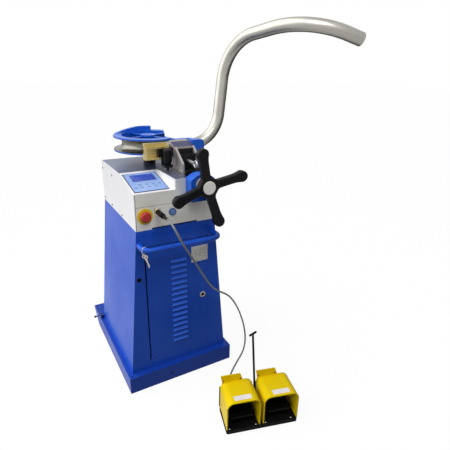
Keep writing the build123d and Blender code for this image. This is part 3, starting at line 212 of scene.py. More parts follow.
class GroupBuilder(TreeBuilder):
    """Builds one node group with named inputs and outputs."""

    output_kinds = {"RGBA": "NodeSocketColor", "VALUE": "NodeSocketFloat", "GEOMETRY": "NodeSocketGeometry"}

    def __init__(self, name: str, kind: str) -> None:
        """Start an empty group.

        Args:
            name: Name of the group.
            kind: Type of its tree.
        """
        super().__init__(bpy.data.node_groups.new(name, kind))
        self.source = self.node("NodeGroupInput")
        self.sink = self.node("NodeGroupOutput")
        self.values: dict[str, Feed] = {}

    def takes(self, **inputs: Feed) -> None:
        """Add inputs, whose socket type follows from their values.

        Args:
            inputs: Names and values: a whole number, a number, a vector or a colour.
        """
        for name, value in inputs.items():
            if isinstance(value, int):
                kind = "NodeSocketInt"
            elif isinstance(value, float):
                kind = "NodeSocketFloat"
            else:
                kind = "NodeSocketVector" if len(value) == 3 else "NodeSocketColor"
            socket = self.tree.interface.new_socket(name=name, in_out="INPUT", socket_type=kind)
            socket.default_value = value
            self.values[socket.identifier] = value

    def taken(self, name: str) -> Socket:
        """Give one of the group's inputs by its name."""
        return self.source.outputs[name]

    def gives(self, name: str, value: Socket) -> None:
        """Add an output.

        Args:
            name: Name of the output.
            value: What it gives.
        """
        kind = self.output_kinds[value.type]
        self.tree.interface.new_socket(name=name, in_out="OUTPUT", socket_type=kind)
        self.feed(self.sink.inputs[name], value)


# Shader node groups


def patches_group() -> bpy.types.NodeTree:
    """Build the group that shades a colour slightly in soft patches.

    Returns:
        A group from Colour, Scale and Depth to Colour and Patches.
    """
    detail, patch_start, patch_end, brightest = 5.0, 0.3, 0.7, 1.06
    group = GroupBuilder("soft_patches", "ShaderNodeTree")
    group.takes(Colour=(0.5, 0.5, 0.5, 1.0), Scale=6.0, Depth=0.12)
    noise = group.noise(group.taken("Scale"), detail).outputs["Fac"]
    patches = group.ranged(noise, 0.0, 1.0, patch_start, patch_end)
    value = group.number("SUBTRACT", brightest, group.number("MULTIPLY", patches, group.taken("Depth")))
    shaded = group.node("ShaderNodeHueSaturation", {"Value": value, "Color": group.taken("Colour")})
    group.gives("Colour", shaded.outputs["Color"])
    group.gives("Patches", patches)
    return group.tree


def lines_group() -> bpy.types.NodeTree:
    """Build the group that draws fine parallel lines.

    Returns:
        A group from Stretch and Scale to Lines.
    """
    detail = 3.0
    group = GroupBuilder("fine_lines", "ShaderNodeTree")
    group.takes(Stretch=Grain.ALONG_X.value, Scale=900.0)
    stretched = group.vector("MULTIPLY", group.place(), group.taken("Stretch"))
    group.gives("Lines", group.noise(group.taken("Scale"), detail, stretched).outputs["Fac"])
    return group.tree


def dimples_group() -> bpy.types.NodeTree:
    """Build the group for the slight dimples of sprayed paint and moulded plastic.

    Returns:
        A group from Scale to Dimples.
    """
    group = GroupBuilder("fine_dimples", "ShaderNodeTree")
    group.takes(Scale=400.0)
    scale = group.taken("Scale")
    cells = group.node("ShaderNodeTexVoronoi", {"Vector": group.place(), "Scale": scale}, feature="SMOOTH_F1")
    noise = group.noise(scale).outputs["Fac"]
    group.gives("Dimples", group.number("MULTIPLY", cells.outputs["Distance"], noise))
    return group.tree


def scuffs_group() -> bpy.types.NodeTree:
    """Build the group for sparse thin scratches.

    Returns:
        A group from Scale and Amount to Scuffs.
    """
    bend_scale, scratch_width = 9.0, 0.012
    where_scale, where_start, where_end = 5.0, 0.52, 0.66
    group = GroupBuilder("thin_scuffs", "ShaderNodeTree")
    group.takes(Scale=14.0, Amount=0.3)
    bent = group.vector("ADD", group.place(), group.noise(bend_scale).outputs["Color"])
    feeds = {"Vector": bent, "Scale": group.taken("Scale")}
    cells = group.node("ShaderNodeTexVoronoi", feeds, feature="DISTANCE_TO_EDGE")
    thin = group.ranged(cells.outputs["Distance"], 1.0, 0.0, 0.0, scratch_width)
    where = group.ranged(group.noise(where_scale).outputs["Fac"], 0.0, 1.0, where_start, where_end)
    both = group.number("MULTIPLY", thin, where)
    group.gives("Scuffs", group.number("MULTIPLY", both, group.taken("Amount")))
    return group.tree


def dust_group() -> bpy.types.NodeTree:
    """Build the group for dust that gathers near the floor.

    Returns:
        A group from Top and Amount to Dust.
    """
    speck_scale, speck_detail = 30.0, 6.0
    group = GroupBuilder("floor_dust", "ShaderNodeTree")
    group.takes(Top=0.12, Amount=0.25)
    height = group.ranged(group.along("Z"), 1.0, 0.0, 0.0, group.taken("Top"))
    specks = group.noise(speck_scale, speck_detail).outputs["Fac"]
    both = group.number("MULTIPLY", height, specks)
    group.gives("Dust", group.number("MULTIPLY", both, group.taken("Amount")))
    return group.tree


class Effects:
    """Keeps each shader node group, built on first use."""

    makers: dict[str, Callable[[], bpy.types.NodeTree]] = {
        "patches": patches_group,
        "lines": lines_group,
        "dimples": dimples_group,
        "scuffs": scuffs_group,
        "dust": dust_group,
    }
    made: dict[str, bpy.types.NodeTree] = {}

    @classmethod
    def tree(cls, name: str) -> bpy.types.NodeTree:
        """Give a group by its short name.

        Args:
            name: Key in makers.

        Returns:
            The group's tree.
        """
        if name not in cls.made:
            cls.made[name] = cls.makers[name]()
        return cls.made[name]


class Surface(TreeBuilder):
    """One material with a Principled shader, and short ways to add to it."""

    def __init__(self, name: str) -> None:
        """Start a material.

        Args:
            name: Name of the material.
        """
        self.material = bpy.data.materials.new(name)
        self.material.use_nodes = True
        super().__init__(self.material.node_tree)
        self.shader = self.tree.nodes["Principled BSDF"]

    def set(self, **values: Feed) -> None:
        """Set or link the shader's own sockets, named with underscores for spaces."""
        for key, value in values.items():
            self.feed(self.shader.inputs[key.replace("_", " ")], value)

    def effect(self, name: str, **values: Feed) -> bpy.types.bpy_prop_collection:
        """Place a shared group with this material's values, and give its outputs."""
        return self.node("ShaderNodeGroup", values, node_tree=Effects.tree(name)).outputs

    def mixed(self, mask: Socket, below: Feed, above: Feed) -> Socket:
        """Lay one colour over another where a mask is high."""
        feeds = {MIX_MASK: mask, MIX_BELOW: below, MIX_ABOVE: above}
        return self.node("ShaderNodeMix", feeds, data_type="RGBA").outputs[MIX_RESULT]

    def rough(self, value: Socket, middle: float, span: Pair) -> None:
        """Let the roughness follow a value of 0 to 1, from so far below the middle to so far above it."""
        self.set(Roughness=self.ranged(value, middle - span[0], middle + span[1]))

    def bump(self, height: Socket, depth: float, strength: float) -> None:
        """Raise the surface by a height value, over a depth in metres, at a share of full strength."""
        feeds = {"Height": height, "Distance": depth, "Strength": strength}
        self.set(Normal=self.node("ShaderNodeBump", feeds).outputs["Normal"])


# Finishes


@dataclass(frozen=True)
class Paint:
    """Sprayed paint on sheet metal."""

    name: str
    colour: Colour
    roughness: float = 0.36
    rough_span: Pair = (0.05, 0.08)
    coat: float = 0.06
    coat_roughness: float = 0.2
    specular: float = 0.22
    patch_scale: float = 4.0
    depth: float = 0.1
    scuffs: float = 0.12
    scuff_scale: float = 11.0
    scuff_share: float = 0.6
    scuff_lift: float = 0.28
    dust: float = 0.0
    dust_top: float = 0.16
    dust_colour: Colour = srgb(168, 164, 156)
    peel_scale: float = 420.0
    peel_depth: float = 0.4 * MM
    peel_strength: float = 0.12
    # Y where the painted highlight on parts standing proud of the sheet starts and where it is full
    proud: Pair = (0.0, 0.0)
    proud_highlight_colour: Colour = (0.0, 0.0, 0.0, 1.0)

    def material(self) -> bpy.types.Material:
        """Build the material, with a lighter colour as painted highlight where the sheet stands proud along
        Y.

        Returns:
            The material.
        """
        surface = Surface(self.name)
        patches = surface.effect("patches", Colour=self.colour, Scale=self.patch_scale, Depth=self.depth)
        scuffs = surface.effect("scuffs", Scale=self.scuff_scale, Amount=self.scuffs)
        pale = opaque(self.scuff_share * part + self.scuff_lift for part in self.colour[:3])
        colour = surface.mixed(scuffs["Scuffs"], patches["Colour"], pale)
        if self.dust > 0:
            dust = surface.effect("dust", Top=self.dust_top, Amount=self.dust)
            colour = surface.mixed(dust["Dust"], colour, self.dust_colour)
        # Painted highlight: parts standing proud along Y, such as the door's louvre hoods, get a lighter
        # colour that stands in for light from above.
        if self.proud[0] != self.proud[1]:
            raised = surface.ranged(surface.along("Y"), 0.0, 1.0, *self.proud)
            colour = surface.mixed(raised, colour, self.proud_highlight_colour)
        surface.set(
            Base_Color=colour, Metallic=0.0, Coat_Weight=self.coat, Coat_Roughness=self.coat_roughness,
            Specular_IOR_Level=self.specular,
        )
        surface.rough(patches["Patches"], self.roughness, self.rough_span)
        dimples = surface.effect("dimples", Scale=self.peel_scale)
        surface.bump(dimples["Dimples"], self.peel_depth, self.peel_strength)
        return surface.material


@dataclass(frozen=True)
class Metal:
    """Bare metal with fine lines from brushing, turning or drawing."""

    name: str
    colour: Colour
    roughness: float = 0.32
    rough_span: Pair = (0.1, 0.12)
    metallic: float = 1.0
    specular: float = 0.5
    grain: Grain = Grain.ALONG_X
    line_scale: float = 900.0
    line_depth: float = 0.12 * MM
    line_strength: float = 0.25
    patch_scale: float = 9.0
    depth: float = 0.18
    stain: Colour = (0.16, 0.14, 0.12, 1.0)
    scuffs: float = 0.25
    scuff_scale: float = 16.0

    def material(self) -> bpy.types.Material:
        """Build the material.

        Returns:
            The material.
        """
        surface = Surface(self.name)
        patches = surface.effect("patches", Colour=self.colour, Scale=self.patch_scale, Depth=self.depth)
        lines = surface.effect("lines", Stretch=self.grain.value, Scale=self.line_scale)
        scuffs = surface.effect("scuffs", Scale=self.scuff_scale, Amount=self.scuffs)
        colour = surface.mixed(scuffs["Scuffs"], patches["Colour"], self.stain)
        surface.set(Base_Color=colour, Metallic=self.metallic, Specular_IOR_Level=self.specular)
        surface.rough(lines["Lines"], self.roughness, self.rough_span)
        surface.bump(lines["Lines"], self.line_depth, self.line_strength)
        return surface.material


@dataclass(frozen=True)
class Plastic:
    """Moulded plastic or rubber with a fine texture."""

    name: str
    colour: Colour
    roughness: float = 0.42
    rough_span: Pair = (0.06, 0.1)
    coat: float = 0.0
    specular: float = 0.2
    patch_scale: float = 14.0
    depth: float = 0.16
    texture: float = 700.0
    texture_depth: float = 0.3 * MM
    texture_strength: float = 0.2
    dust: float = 0.0
    dust_top: float = 0.1
    dust_colour: Colour = srgb(150, 146, 138)

    def material(self) -> bpy.types.Material:
        """Build the material.

        Returns:
            The material.
        """
        surface = Surface(self.name)
        patches = surface.effect("patches", Colour=self.colour, Scale=self.patch_scale, Depth=self.depth)
        colour = patches["Colour"]
        if self.dust > 0:
            dust = surface.effect("dust", Top=self.dust_top, Amount=self.dust)
            colour = surface.mixed(dust["Dust"], colour, self.dust_colour)
        surface.set(
            Base_Color=colour, Metallic=0.0, Coat_Weight=self.coat, Specular_IOR_Level=self.specular
        )
        surface.rough(patches["Patches"], self.roughness, self.rough_span)
        dimples = surface.effect("dimples", Scale=self.texture)
        surface.bump(dimples["Dimples"], self.texture_depth, self.texture_strength)
        return surface.material


@dataclass(frozen=True)
class GroovedPaint:
    """Paint on the former's wheel, with its groove left as bare turned metal and painted shade in its
    recessed dish.
    """

    name: str
    paint: Paint
    metal: Metal
    # Middle of the bend, and the sizes of groove, flat and dish about it; the dish's paint is darkened as
    # painted shade
    axis: Point = (0.015, 0.035, 0.974)
    bend_radius: float = 0.135
    groove_radius: float = 0.0252
    flat: float = 0.0752
    flat_turn: float = math.radians(-15.5)
    dish_radius: float = 0.1115
    dish_level: float = 0.024
    painted_shade_factor: float = 0.4
    patch_scale: float = 5.0
    scuff_scale: float = 13.0
    rough_span: Pair = (0.12, 0.16)
    line_strength: float = 0.2

    def masks(self, surface: Surface) -> tuple[Socket, Socket]:
        """Mark the groove by its distance from the bend's middle line, and the dish that gets painted shade
        by radius and height.

        Args:
            surface: The material to add the nodes to.

        Returns:
            1 in the groove and 0 elsewhere, then 1 in the dish that gets painted shade and 0 elsewhere.
        """
        offset = surface.vector("SUBTRACT", surface.place(), self.axis)
        reach = surface.vector("LENGTH", surface.vector("MULTIPLY", offset, (1.0, 1.0, 0.0)))
        rise = surface.node("ShaderNodeSeparateXYZ", {0: offset}).outputs["Z"]
        inside = surface.number("MINIMUM", surface.number("SUBTRACT", reach, self.bend_radius), 0.0)
        section = surface.node("ShaderNodeCombineXYZ", {"X": inside, "Y": rise}).outputs[0]
        near = surface.number("LESS_THAN", surface.vector("LENGTH", section), self.groove_radius)
        across_flat = (math.cos(self.flat_turn), math.sin(self.flat_turn), 0.0)
        side = surface.vector("DOT_PRODUCT", offset, across_flat)
        wheel = surface.number("LESS_THAN", side, self.flat)
        low = surface.number("LESS_THAN", rise, self.dish_level)
        inner = surface.number("LESS_THAN", reach, self.dish_radius)
        return surface.number("MULTIPLY", near, wheel), surface.number("MULTIPLY", low, inner)

    def material(self) -> bpy.types.Material:
        """Build the material.

        Returns:
            The material.
        """
        paint, metal = self.paint, self.metal
        surface = Surface(self.name)
        groove, dish = self.masks(surface)
        patches = surface.effect("patches", Colour=paint.colour, Scale=self.patch_scale, Depth=paint.depth)
        scuffs = surface.effect("scuffs", Scale=self.scuff_scale, Amount=paint.scuffs)
        lines = surface.effect("lines", Stretch=metal.grain.value, Scale=metal.line_scale)
        colour = surface.mixed(scuffs["Scuffs"], patches["Colour"], metal.colour)
        # Painted shade: the paint in the recessed dish is darkened to stand in for the shade between the
        # ribs.
        painted_shade_colour = opaque(self.painted_shade_factor * part for part in paint.colour[:3])
        colour = surface.mixed(dish, colour, painted_shade_colour)
        colour = surface.mixed(groove, colour, metal.colour)
        surface.set(Base_Color=colour, Metallic=groove, Specular_IOR_Level=paint.specular)
        surface.rough(lines["Lines"], metal.roughness, self.rough_span)
        surface.bump(lines["Lines"], metal.line_depth, self.line_strength)
        return surface.material


Finish = Paint | Metal | Plastic | GroovedPaint

BLUE = Paint("cabinet_blue_paint", srgb(24, 80, 195), dust=0.02, specular=0.17, coat=0.04)
# Painted shade: a darker copy of the cabinet blue for the plinth, standing in for the dimmer light near the
# floor.
SHADED_PLINTH_BLUE = Paint("plinth_blue_painted_shade", srgb(20, 66, 168), dust=0.02, specular=0.14, coat=0.03)
# Door paint with a painted highlight: the louvre hoods, proud of the front face, are tinted lighter to stand
# in for light from above.
DOOR_BLUE = Paint(
    "door_blue_paint", srgb(24, 80, 195), dust=0.02, specular=0.17, coat=0.04,
    proud=(-0.2885, -0.2915), proud_highlight_colour=srgb(58, 112, 236),
)
DEEP_BLUE = Paint("fitting_blue_paint", srgb(18, 44, 112))
FORMER_BLUE = Paint("former_blue_paint", srgb(24, 92, 205), roughness=0.3, scuffs=0.3)
WHITE = Paint("head_white_paint", srgb(232, 232, 235), depth=0.04, specular=0.4, coat=0.2)
YELLOW = Paint("guard_yellow_paint", srgb(231, 200, 4), roughness=0.4, coat=0.0, specular=0.12)
STAINLESS = Metal("panel_stainless", srgb(222, 221, 212), roughness=0.38, depth=0.12, metallic=0.2)
# Steel with a painted reflection: its grey is darkened and tinted blue to stand in for the blue parts and
# dark undersides it mirrors.
TABLE_STEEL_PAINTED_REFLECTION = Metal("table_steel_painted_reflection", srgb(104, 114, 141), roughness=0.34, grain=Grain.ALONG_Y, metallic=0.5)
TUBE_STEEL = Metal(
    "drawn_tube", srgb(164, 162, 155), roughness=0.36, grain=Grain.EVEN, line_scale=260.0,
    line_depth=0.02 * MM, scuffs=0.12,
)
MACHINED = Metal("machined_steel", srgb(164, 162, 160), roughness=0.32, grain=Grain.ALONG_Y)
SATIN = Metal("satin_steel", srgb(176, 170, 168), roughness=0.4, grain=Grain.ALONG_Y, metallic=0.4)
GROOVE_STEEL = Metal("turned_groove", srgb(118, 116, 109), roughness=0.27, grain=Grain.ROUND_Z)
FORMER = GroovedPaint("former_grooved", FORMER_BLUE, GROOVE_STEEL)
ZINC = Metal("zinc_plate", srgb(180, 182, 184), roughness=0.38, grain=Grain.EVEN, line_scale=300.0)
BRASS = Metal("die_brass", srgb(206, 184, 116), roughness=0.34, depth=0.3, metallic=0.75)
DARK_STEEL = Metal(
    "blackened_steel", srgb(16, 16, 21), roughness=0.45, metallic=0.6, scuffs=0.3,
    stain=(0.1, 0.1, 0.1, 1.0),
)
ROOF_STEEL = Metal(
    "roof_blued_steel", srgb(78, 74, 122), roughness=0.3, grain=Grain.EVEN, line_scale=420.0,
    patch_scale=60.0, depth=0.5, scuffs=0.3,
)
BLACK = Plastic("black_plastic", srgb(8, 8, 12), roughness=0.4, specular=0.12)
BLACK_RUBBER = Plastic("pedal_black", srgb(5, 5, 6), roughness=0.6, specular=0.06, dust=0.02)
CABLE_GREY = Plastic(
    "cable_jacket", srgb(116, 118, 126), roughness=0.3, specular=0.4, texture=1500.0, coat=0.2
)
CAP_GREY = Plastic("cap_light_grey", srgb(246, 243, 239), roughness=0.25, specular=0.5)
MOTOR_GREY = Paint("motor_grey_paint", srgb(96, 104, 112), roughness=0.5, coat=0.0)
ESTOP_YELLOW = Plastic("estop_yellow", srgb(240, 205, 50), roughness=0.35)
ESTOP_RED = Plastic("estop_red", srgb(188, 58, 55), roughness=0.36)
BUTTON_RING = Plastic("button_ring_blue", srgb(52, 78, 132), roughness=0.3, specular=0.4)
BUTTON_BLUE = Plastic("button_blue", srgb(104, 148, 214), roughness=0.3, coat=0.2)
KEYPAD_BORDER = Plastic("keypad_border", srgb(38, 46, 84), roughness=0.3, specular=0.4)
KEYPAD_FILM = Plastic("keypad_film", srgb(150, 180, 236), roughness=0.22, specular=0.5, coat=0.2)
KEYPAD_PAD = Plastic("keypad_pad", srgb(112, 136, 160), roughness=0.35)
DISPLAY_GLASS = Plastic("display_window", srgb(70, 94, 196), roughness=0.08, specular=1.0, coat=1.0)
LABEL_WHITE = Plastic("label_white", srgb(234, 228, 228), roughness=0.45)
PLATE_SILVER = Metal(
    "bare_plate", srgb(232, 231, 224), roughness=0.5, metallic=0.0, line_scale=1200.0,
    patch_scale=150.0, depth=0.4,
)
TIE_WHITE = Plastic("tie_white", srgb(232, 232, 228), roughness=0.5)
KEY_STEEL = Metal("key_steel", srgb(186, 180, 162), roughness=0.26, grain=Grain.ALONG_Z)
SOCKET_BRASS = Metal("socket_ring", srgb(206, 190, 150), roughness=0.3, grain=Grain.ROUND_Y)


class Finishes:
    """Keeps each finish's material, built on first use."""

    made: dict[str, bpy.types.Material] = {}

    @classmethod
    def material(cls, finish: Finish) -> bpy.types.Material:
        """Give a finish's material.

        Args:
            finish: The finish.

        Returns:
            Its material.
        """
        if finish.name not in cls.made:
            cls.made[finish.name] = finish.material()
        return cls.made[finish.name]


def coat(piece: bpy.types.Object, finish: Finish) -> None:
    """Give a piece one finish all over."""
    piece.data.materials.clear()
    piece.data.materials.append(Finishes.material(finish))


def dress(nodes: dict[str, Finish]) -> None:
    """Give solids their finishes.

    Args:
        nodes: Finish by the name of the node.
    """
    for name, finish in nodes.items():
        coat(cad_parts[name], finish)
        log.info("%s: %s", name, finish.name)


# Shapes


def add_piece(name: str, mesh: bpy.types.Mesh, body: str, finish: Finish) -> None:
    """Put a mesh in the scene as a piece that rides on a body.

    Args:
        name: Name of the piece.
        mesh: Its mesh, already in place.
        body: Body that it rides on.
        finish: Its finish.
    """
    piece = show(name, mesh)
    coat(piece, finish)
    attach(piece, body)
    log.info("%s rides on %s", name, body)


def mesh_from(name: str, build: Build, place: Matrix = Matrix()) -> bpy.types.Mesh:
    """Build a mesh with bmesh, close it and put it in place.

    Args:
        name: Name of the mesh.
        build: Adds the shape.
        place: Where the shape goes.

    Returns:
        The mesh.
    """
    shape = bmesh.new()
    build(shape)
    bmesh.ops.remove_doubles(shape, verts=shape.verts, dist=WELD)
    bmesh.ops.recalc_face_normals(shape, faces=shape.faces)
    bmesh.ops.transform(shape, matrix=place, verts=shape.verts)
    mesh = bpy.data.meshes.new(name)
    shape.to_mesh(mesh)
    shape.free()
    return mesh


def slab(width: float, depth: float, height: float, edge: float) -> Build:
    """Describe a block on the XY plane with softened edges.

    Args:
        width: Size along X.
        depth: Size along Y.
        height: Size along Z, from 0.
        edge: Width of the softened edge.

    Returns:
        A function that adds the block.
    """
    def build(shape: bmesh.types.BMesh) -> None:
        """Add the block."""
        made = bmesh.ops.create_cube(shape, size=1.0)["verts"]
        bmesh.ops.scale(shape, vec=(width, depth, height), verts=made)
        bmesh.ops.translate(shape, vec=(0, 0, height / 2), verts=made)
        bmesh.ops.bevel(
            shape, geom=shape.edges[:], offset=edge, affect="EDGES", segments=EDGE_STEPS,
            profile=EDGE_FULLNESS,
        )

    return build


def lathe(profile: Sequence[Pair], steps: int) -> Build:
    """Describe a turned shape about Z.

    Args:
        profile: Radius and height of each point, from the axis to the axis or closed on itself.
        steps: Number of steps round.

    Returns:
        A function that adds the shape.
    """
    def build(shape: bmesh.types.BMesh) -> None:
        """Add the shape."""
        rings = []
        for step in range(steps):
            turn = 2 * math.pi * step / steps
            rings.append([
                shape.verts.new((radius * math.cos(turn), radius * math.sin(turn), height))
                for radius, height in profile
            ])
        for here, there in zip(rings, rings[1:] + rings[:1]):
            for index in range(len(profile) - 1):
                shape.faces.new((here[index], there[index], there[index + 1], here[index + 1]))
        bmesh.ops.remove_doubles(shape, verts=shape.verts, dist=WELD)
        bmesh.ops.dissolve_degenerate(shape, edges=shape.edges, dist=SLIVER)

    return build


def cut_shape(outline: Sequence[Pair], height: float) -> Build:
    """Describe a flat shape cut from sheet.

    Args:
        outline: Corners on the XY plane.
        height: Thickness along Z, from 0.

    Returns:
        A function that adds the shape.
    """
    def build(shape: bmesh.types.BMesh) -> None:
        """Add the shape."""
        under, over = ([shape.verts.new((x, y, z)) for x, y in outline] for z in (0.0, height))
        shape.faces.new(under)
        shape.faces.new(over)
        for index in range(len(outline)):
            shape.faces.new((under[index - 1], under[index], over[index], over[index - 1]))

    return build


def together(*builds: Build) -> Build:
    """Describe several shapes as one.

    Args:
        builds: Functions that each add a shape.

    Returns:
        A function that adds them all.
    """
    def build(shape: bmesh.types.BMesh) -> None:
        """Add the shapes."""
        for add in builds:
            add(shape)

    return build


def facing(place: Point, out: Point, up: Point = UPWARD) -> Matrix:
    """Give the matrix that lays a shape's Z along a direction.

    Args:
        place: Where the shape's origin goes.
        out: Direction of the shape's Z.
        up: Direction that the shape's Y leans to.

    Returns:
        The matrix.
    """
    z_axis = Vector(out).normalized()
    x_axis = Vector(up).cross(z_axis).normalized()
    y_axis = z_axis.cross(x_axis)
    return Matrix.Translation(place) @ Matrix((x_axis, y_axis, z_axis)).transposed().to_4x4()


def joined(name: str, meshes: Iterable[bpy.types.Mesh]) -> bpy.types.Mesh:
    """Join meshes into one.

    Args:
        name: Name of the mesh.
        meshes: The meshes, each already in place.

    Returns:
        One mesh of them all.
    """
    shape = bmesh.new()
    for mesh in meshes:
        shape.from_mesh(mesh)
    whole = bpy.data.meshes.new(name)
    shape.to_mesh(whole)
    shape.free()
    return whole


def wall_strips(
    name: str, strips: Iterable[tuple[Point, float, float]], thickness: float, edge: float,
    out: Point = FORWARD, base: Matrix = Matrix(),
) -> bpy.types.Mesh:
    """Lay flat strips on an upright wall.

    Args:
        name: Name of the mesh.
        strips: Middle, width and height of each.
        thickness: How far they stand out.
        edge: Width of their softened edges.
        out: Direction that the wall faces.
        base: Moves them all.

    Returns:
        One mesh of them all.
    """
    return joined(name, [
        mesh_from(name, slab(width, height, thickness, edge), base @ facing(middle, out))
        for middle, width, height in strips
    ])


def tube_curve(name: str, points: Sequence[Sequence[float]], radius: float, sides: int) -> bpy.types.Object:
    """Make a round curve with the points as its control points.

    Args:
        name: Name of the curve.
        points: Control points.
        radius: Radius of the round section.
        sides: Smoothness of the section.

    Returns:
        The curve object.
    """
    data = bpy.data.curves.new(name, "CURVE")
    data.dimensions = "3D"
    data.bevel_depth = radius
    data.bevel_resolution = sides
    data.use_fill_caps = True
    data.resolution_u = CURVE_STEPS
    spline = data.splines.new("NURBS")
    spline.points.add(len(points) - 1)
    for control, point in zip(spline.points, points):
        control.co = (*point, 1.0)
    spline.order_u = CURVE_ORDER
    spline.use_endpoint_u = True
    return show(name, data)


def mesh_of(piece: bpy.types.Object, name: str) -> bpy.types.Mesh:
    """Turn an evaluated object into a plain mesh and remove the object.

    Args:
        piece: Object with a curve or modifiers.
        name: Name of the mesh.

    Returns:
        The mesh.
    """
    bpy.context.view_layer.update()
    graph = bpy.context.evaluated_depsgraph_get()
    mesh = bpy.data.meshes.new_from_object(piece.evaluated_get(graph), depsgraph=graph)
    mesh.name = name
    bpy.data.objects.remove(piece)
    return mesh


@dataclass(frozen=True)
class TurnedPiece:
    """A small turned piece on a wall, its profile as radius and height in millimetres."""

    name: str
    profile: tuple[Pair, ...]
    place: Point
    body: str = "frame"
    finish: Finish = BLACK
    slot: str = "black_plastic"
    out: Point = FORWARD
    steps: int = 24

    def build(self) -> None:
        """Add the piece."""
        shape = lathe(metres(self.profile), self.steps)
        mesh = mesh_from(self.name, shape, facing(self.place, self.out))
        add_piece(self.name, mesh, self.body, self.finish)


# Geometry node trees for what repeats


class Pattern(GroupBuilder):
    """A geometry node tree that repeats a small shape on points and makes one piece of it."""

    def __init__(self, name: str, finish: Finish, **inputs: Feed) -> None:
        """Start a tree that takes the points and its sizes.

        Args:
            name: Name of the piece.
            finish: Finish of the piece.
            inputs: Names and values of the sizes.
        """
        super().__init__(name, "GeometryNodeTree")
        self.name = name
        self.finish = finish
        self.tree.interface.new_socket(name="Geometry", in_out="INPUT", socket_type="NodeSocketGeometry")
        self.takes(**inputs)

    def merged(self, *parts: Socket) -> Socket:
        """Join geometry.

        Args:
            parts: Geometry of each part.

        Returns:
            Geometry of them all.
        """
        join = self.node("GeometryNodeJoinGeometry")
        for part in parts:
            self.feed(join.inputs[0], part)
        return join.outputs[0]

    def close(self, shape: Socket, points: Socket, turn: Socket) -> None:
        """Put the shape on the points and end the tree.

        Args:
            shape: Geometry of one shape.
            points: Geometry of the points.
            turn: Turn of each shape.
        """
        feeds = {"Points": points, "Instance": shape, "Rotation": turn}
        spread = self.node("GeometryNodeInstanceOnPoints", feeds)
        real = self.node("GeometryNodeRealizeInstances", {"Geometry": spread.outputs["Instances"]})
        feeds = {"Geometry": real.outputs["Geometry"], "Material": Finishes.material(self.finish)}
        self.gives("Geometry", self.node("GeometryNodeSetMaterial", feeds).outputs["Geometry"])

    def add(self, body: str, slot: str, points: Iterable[Point], place: Matrix = Matrix()) -> None:
        """Run the tree on a set of points and add the result as a piece.

        Args:
            body: Body that it rides on.
            slot: Not used.
            points: Where the shapes go.
            place: Moves the whole result.
        """
        base = bpy.data.meshes.new(self.name + "_points")
        base.from_pydata(list(points), [], [])
        holder = show(self.name + "_holder", base)
        modifier = holder.modifiers.new("pattern", "NODES")
        modifier.node_group = self.tree
        for identifier, value in self.values.items():
            modifier[identifier] = value
        mesh = mesh_of(holder, self.name)
        mesh.transform(place)
        add_piece(self.name, mesh, body, self.finish)


def screw_pattern(name: str, finish: Finish, radius: float, height: float, turn: Point) -> Pattern:
    """Describe domed screw heads on points.

    Args:
        name: Name of the piece.
        finish: Finish of the heads.
        radius: Radius of a head.
        height: Height of a head.
        turn: Turn of every head, in radians.

    Returns:
        The pattern.
    """
    steps, rim_share, top_share = 20, 0.55, 0.62
    pattern = Pattern(name, finish, Radius=radius, Height=height, Turn=turn)
    size = pattern.taken("Radius")
    rise = pattern.number("MULTIPLY", pattern.taken("Height"), rim_share)
    rim = pattern.node("GeometryNodeMeshCylinder", {"Vertices": steps, "Radius": size, "Depth": rise})
    top = pattern.number("MULTIPLY", size, top_share)
    feeds = {"Vertices": steps, "Radius Top": top, "Radius Bottom": size, "Depth": rise}
    dome = pattern.node("GeometryNodeMeshCone", feeds)
    lift = pattern.node("ShaderNodeCombineXYZ", {"Z": pattern.number("MULTIPLY", rise, 0.5)})
    feeds = {"Geometry": dome.outputs["Mesh"], "Translation": lift.outputs[0]}
    raised = pattern.node("GeometryNodeTransform", feeds)
    head = pattern.merged(rim.outputs["Mesh"], raised.outputs["Geometry"])
    pattern.close(head, pattern.taken("Geometry"), pattern.taken("Turn"))
    return pattern


def pad_pattern(name: str, finish: Finish, pad: Pad) -> Pattern:
    """Describe flat pads with round corners on points.

    Args:
        name: Name of the piece.
        finish: Finish of the pads.
        pad: Width along X, depth along Y, height and corner radius of a pad.

    Returns:
        The pattern.
    """
    corner_steps = 5
    width, depth, height, corner = pad
    pattern = Pattern(name, finish, Width=width, Depth=depth, Height=height, Corner=corner, Turn=FACE_UP)
    feeds = {"Width": pattern.taken("Width"), "Height": pattern.taken("Depth")}
    outline = pattern.node("GeometryNodeCurvePrimitiveQuadrilateral", feeds)
    feeds = {"Curve": outline.outputs["Curve"], "Radius": pattern.taken("Corner"), "Count": corner_steps}
    soft = pattern.node("GeometryNodeFilletCurve", feeds, mode="POLY")
    fill = pattern.node("GeometryNodeFillCurve", {"Curve": soft.outputs["Curve"]}, mode="NGONS")
    sheet = fill.outputs["Mesh"]
    feeds = {"Mesh": sheet, "Offset Scale": pattern.taken("Height"), "Individual": False}
    raised = pattern.node("GeometryNodeExtrudeMesh", feeds)
    under = pattern.node("GeometryNodeFlipFaces", {"Mesh": sheet})
    closed = pattern.merged(raised.outputs["Mesh"], under.outputs["Mesh"])
    pattern.close(closed, pattern.taken("Geometry"), pattern.taken("Turn"))
    return pattern


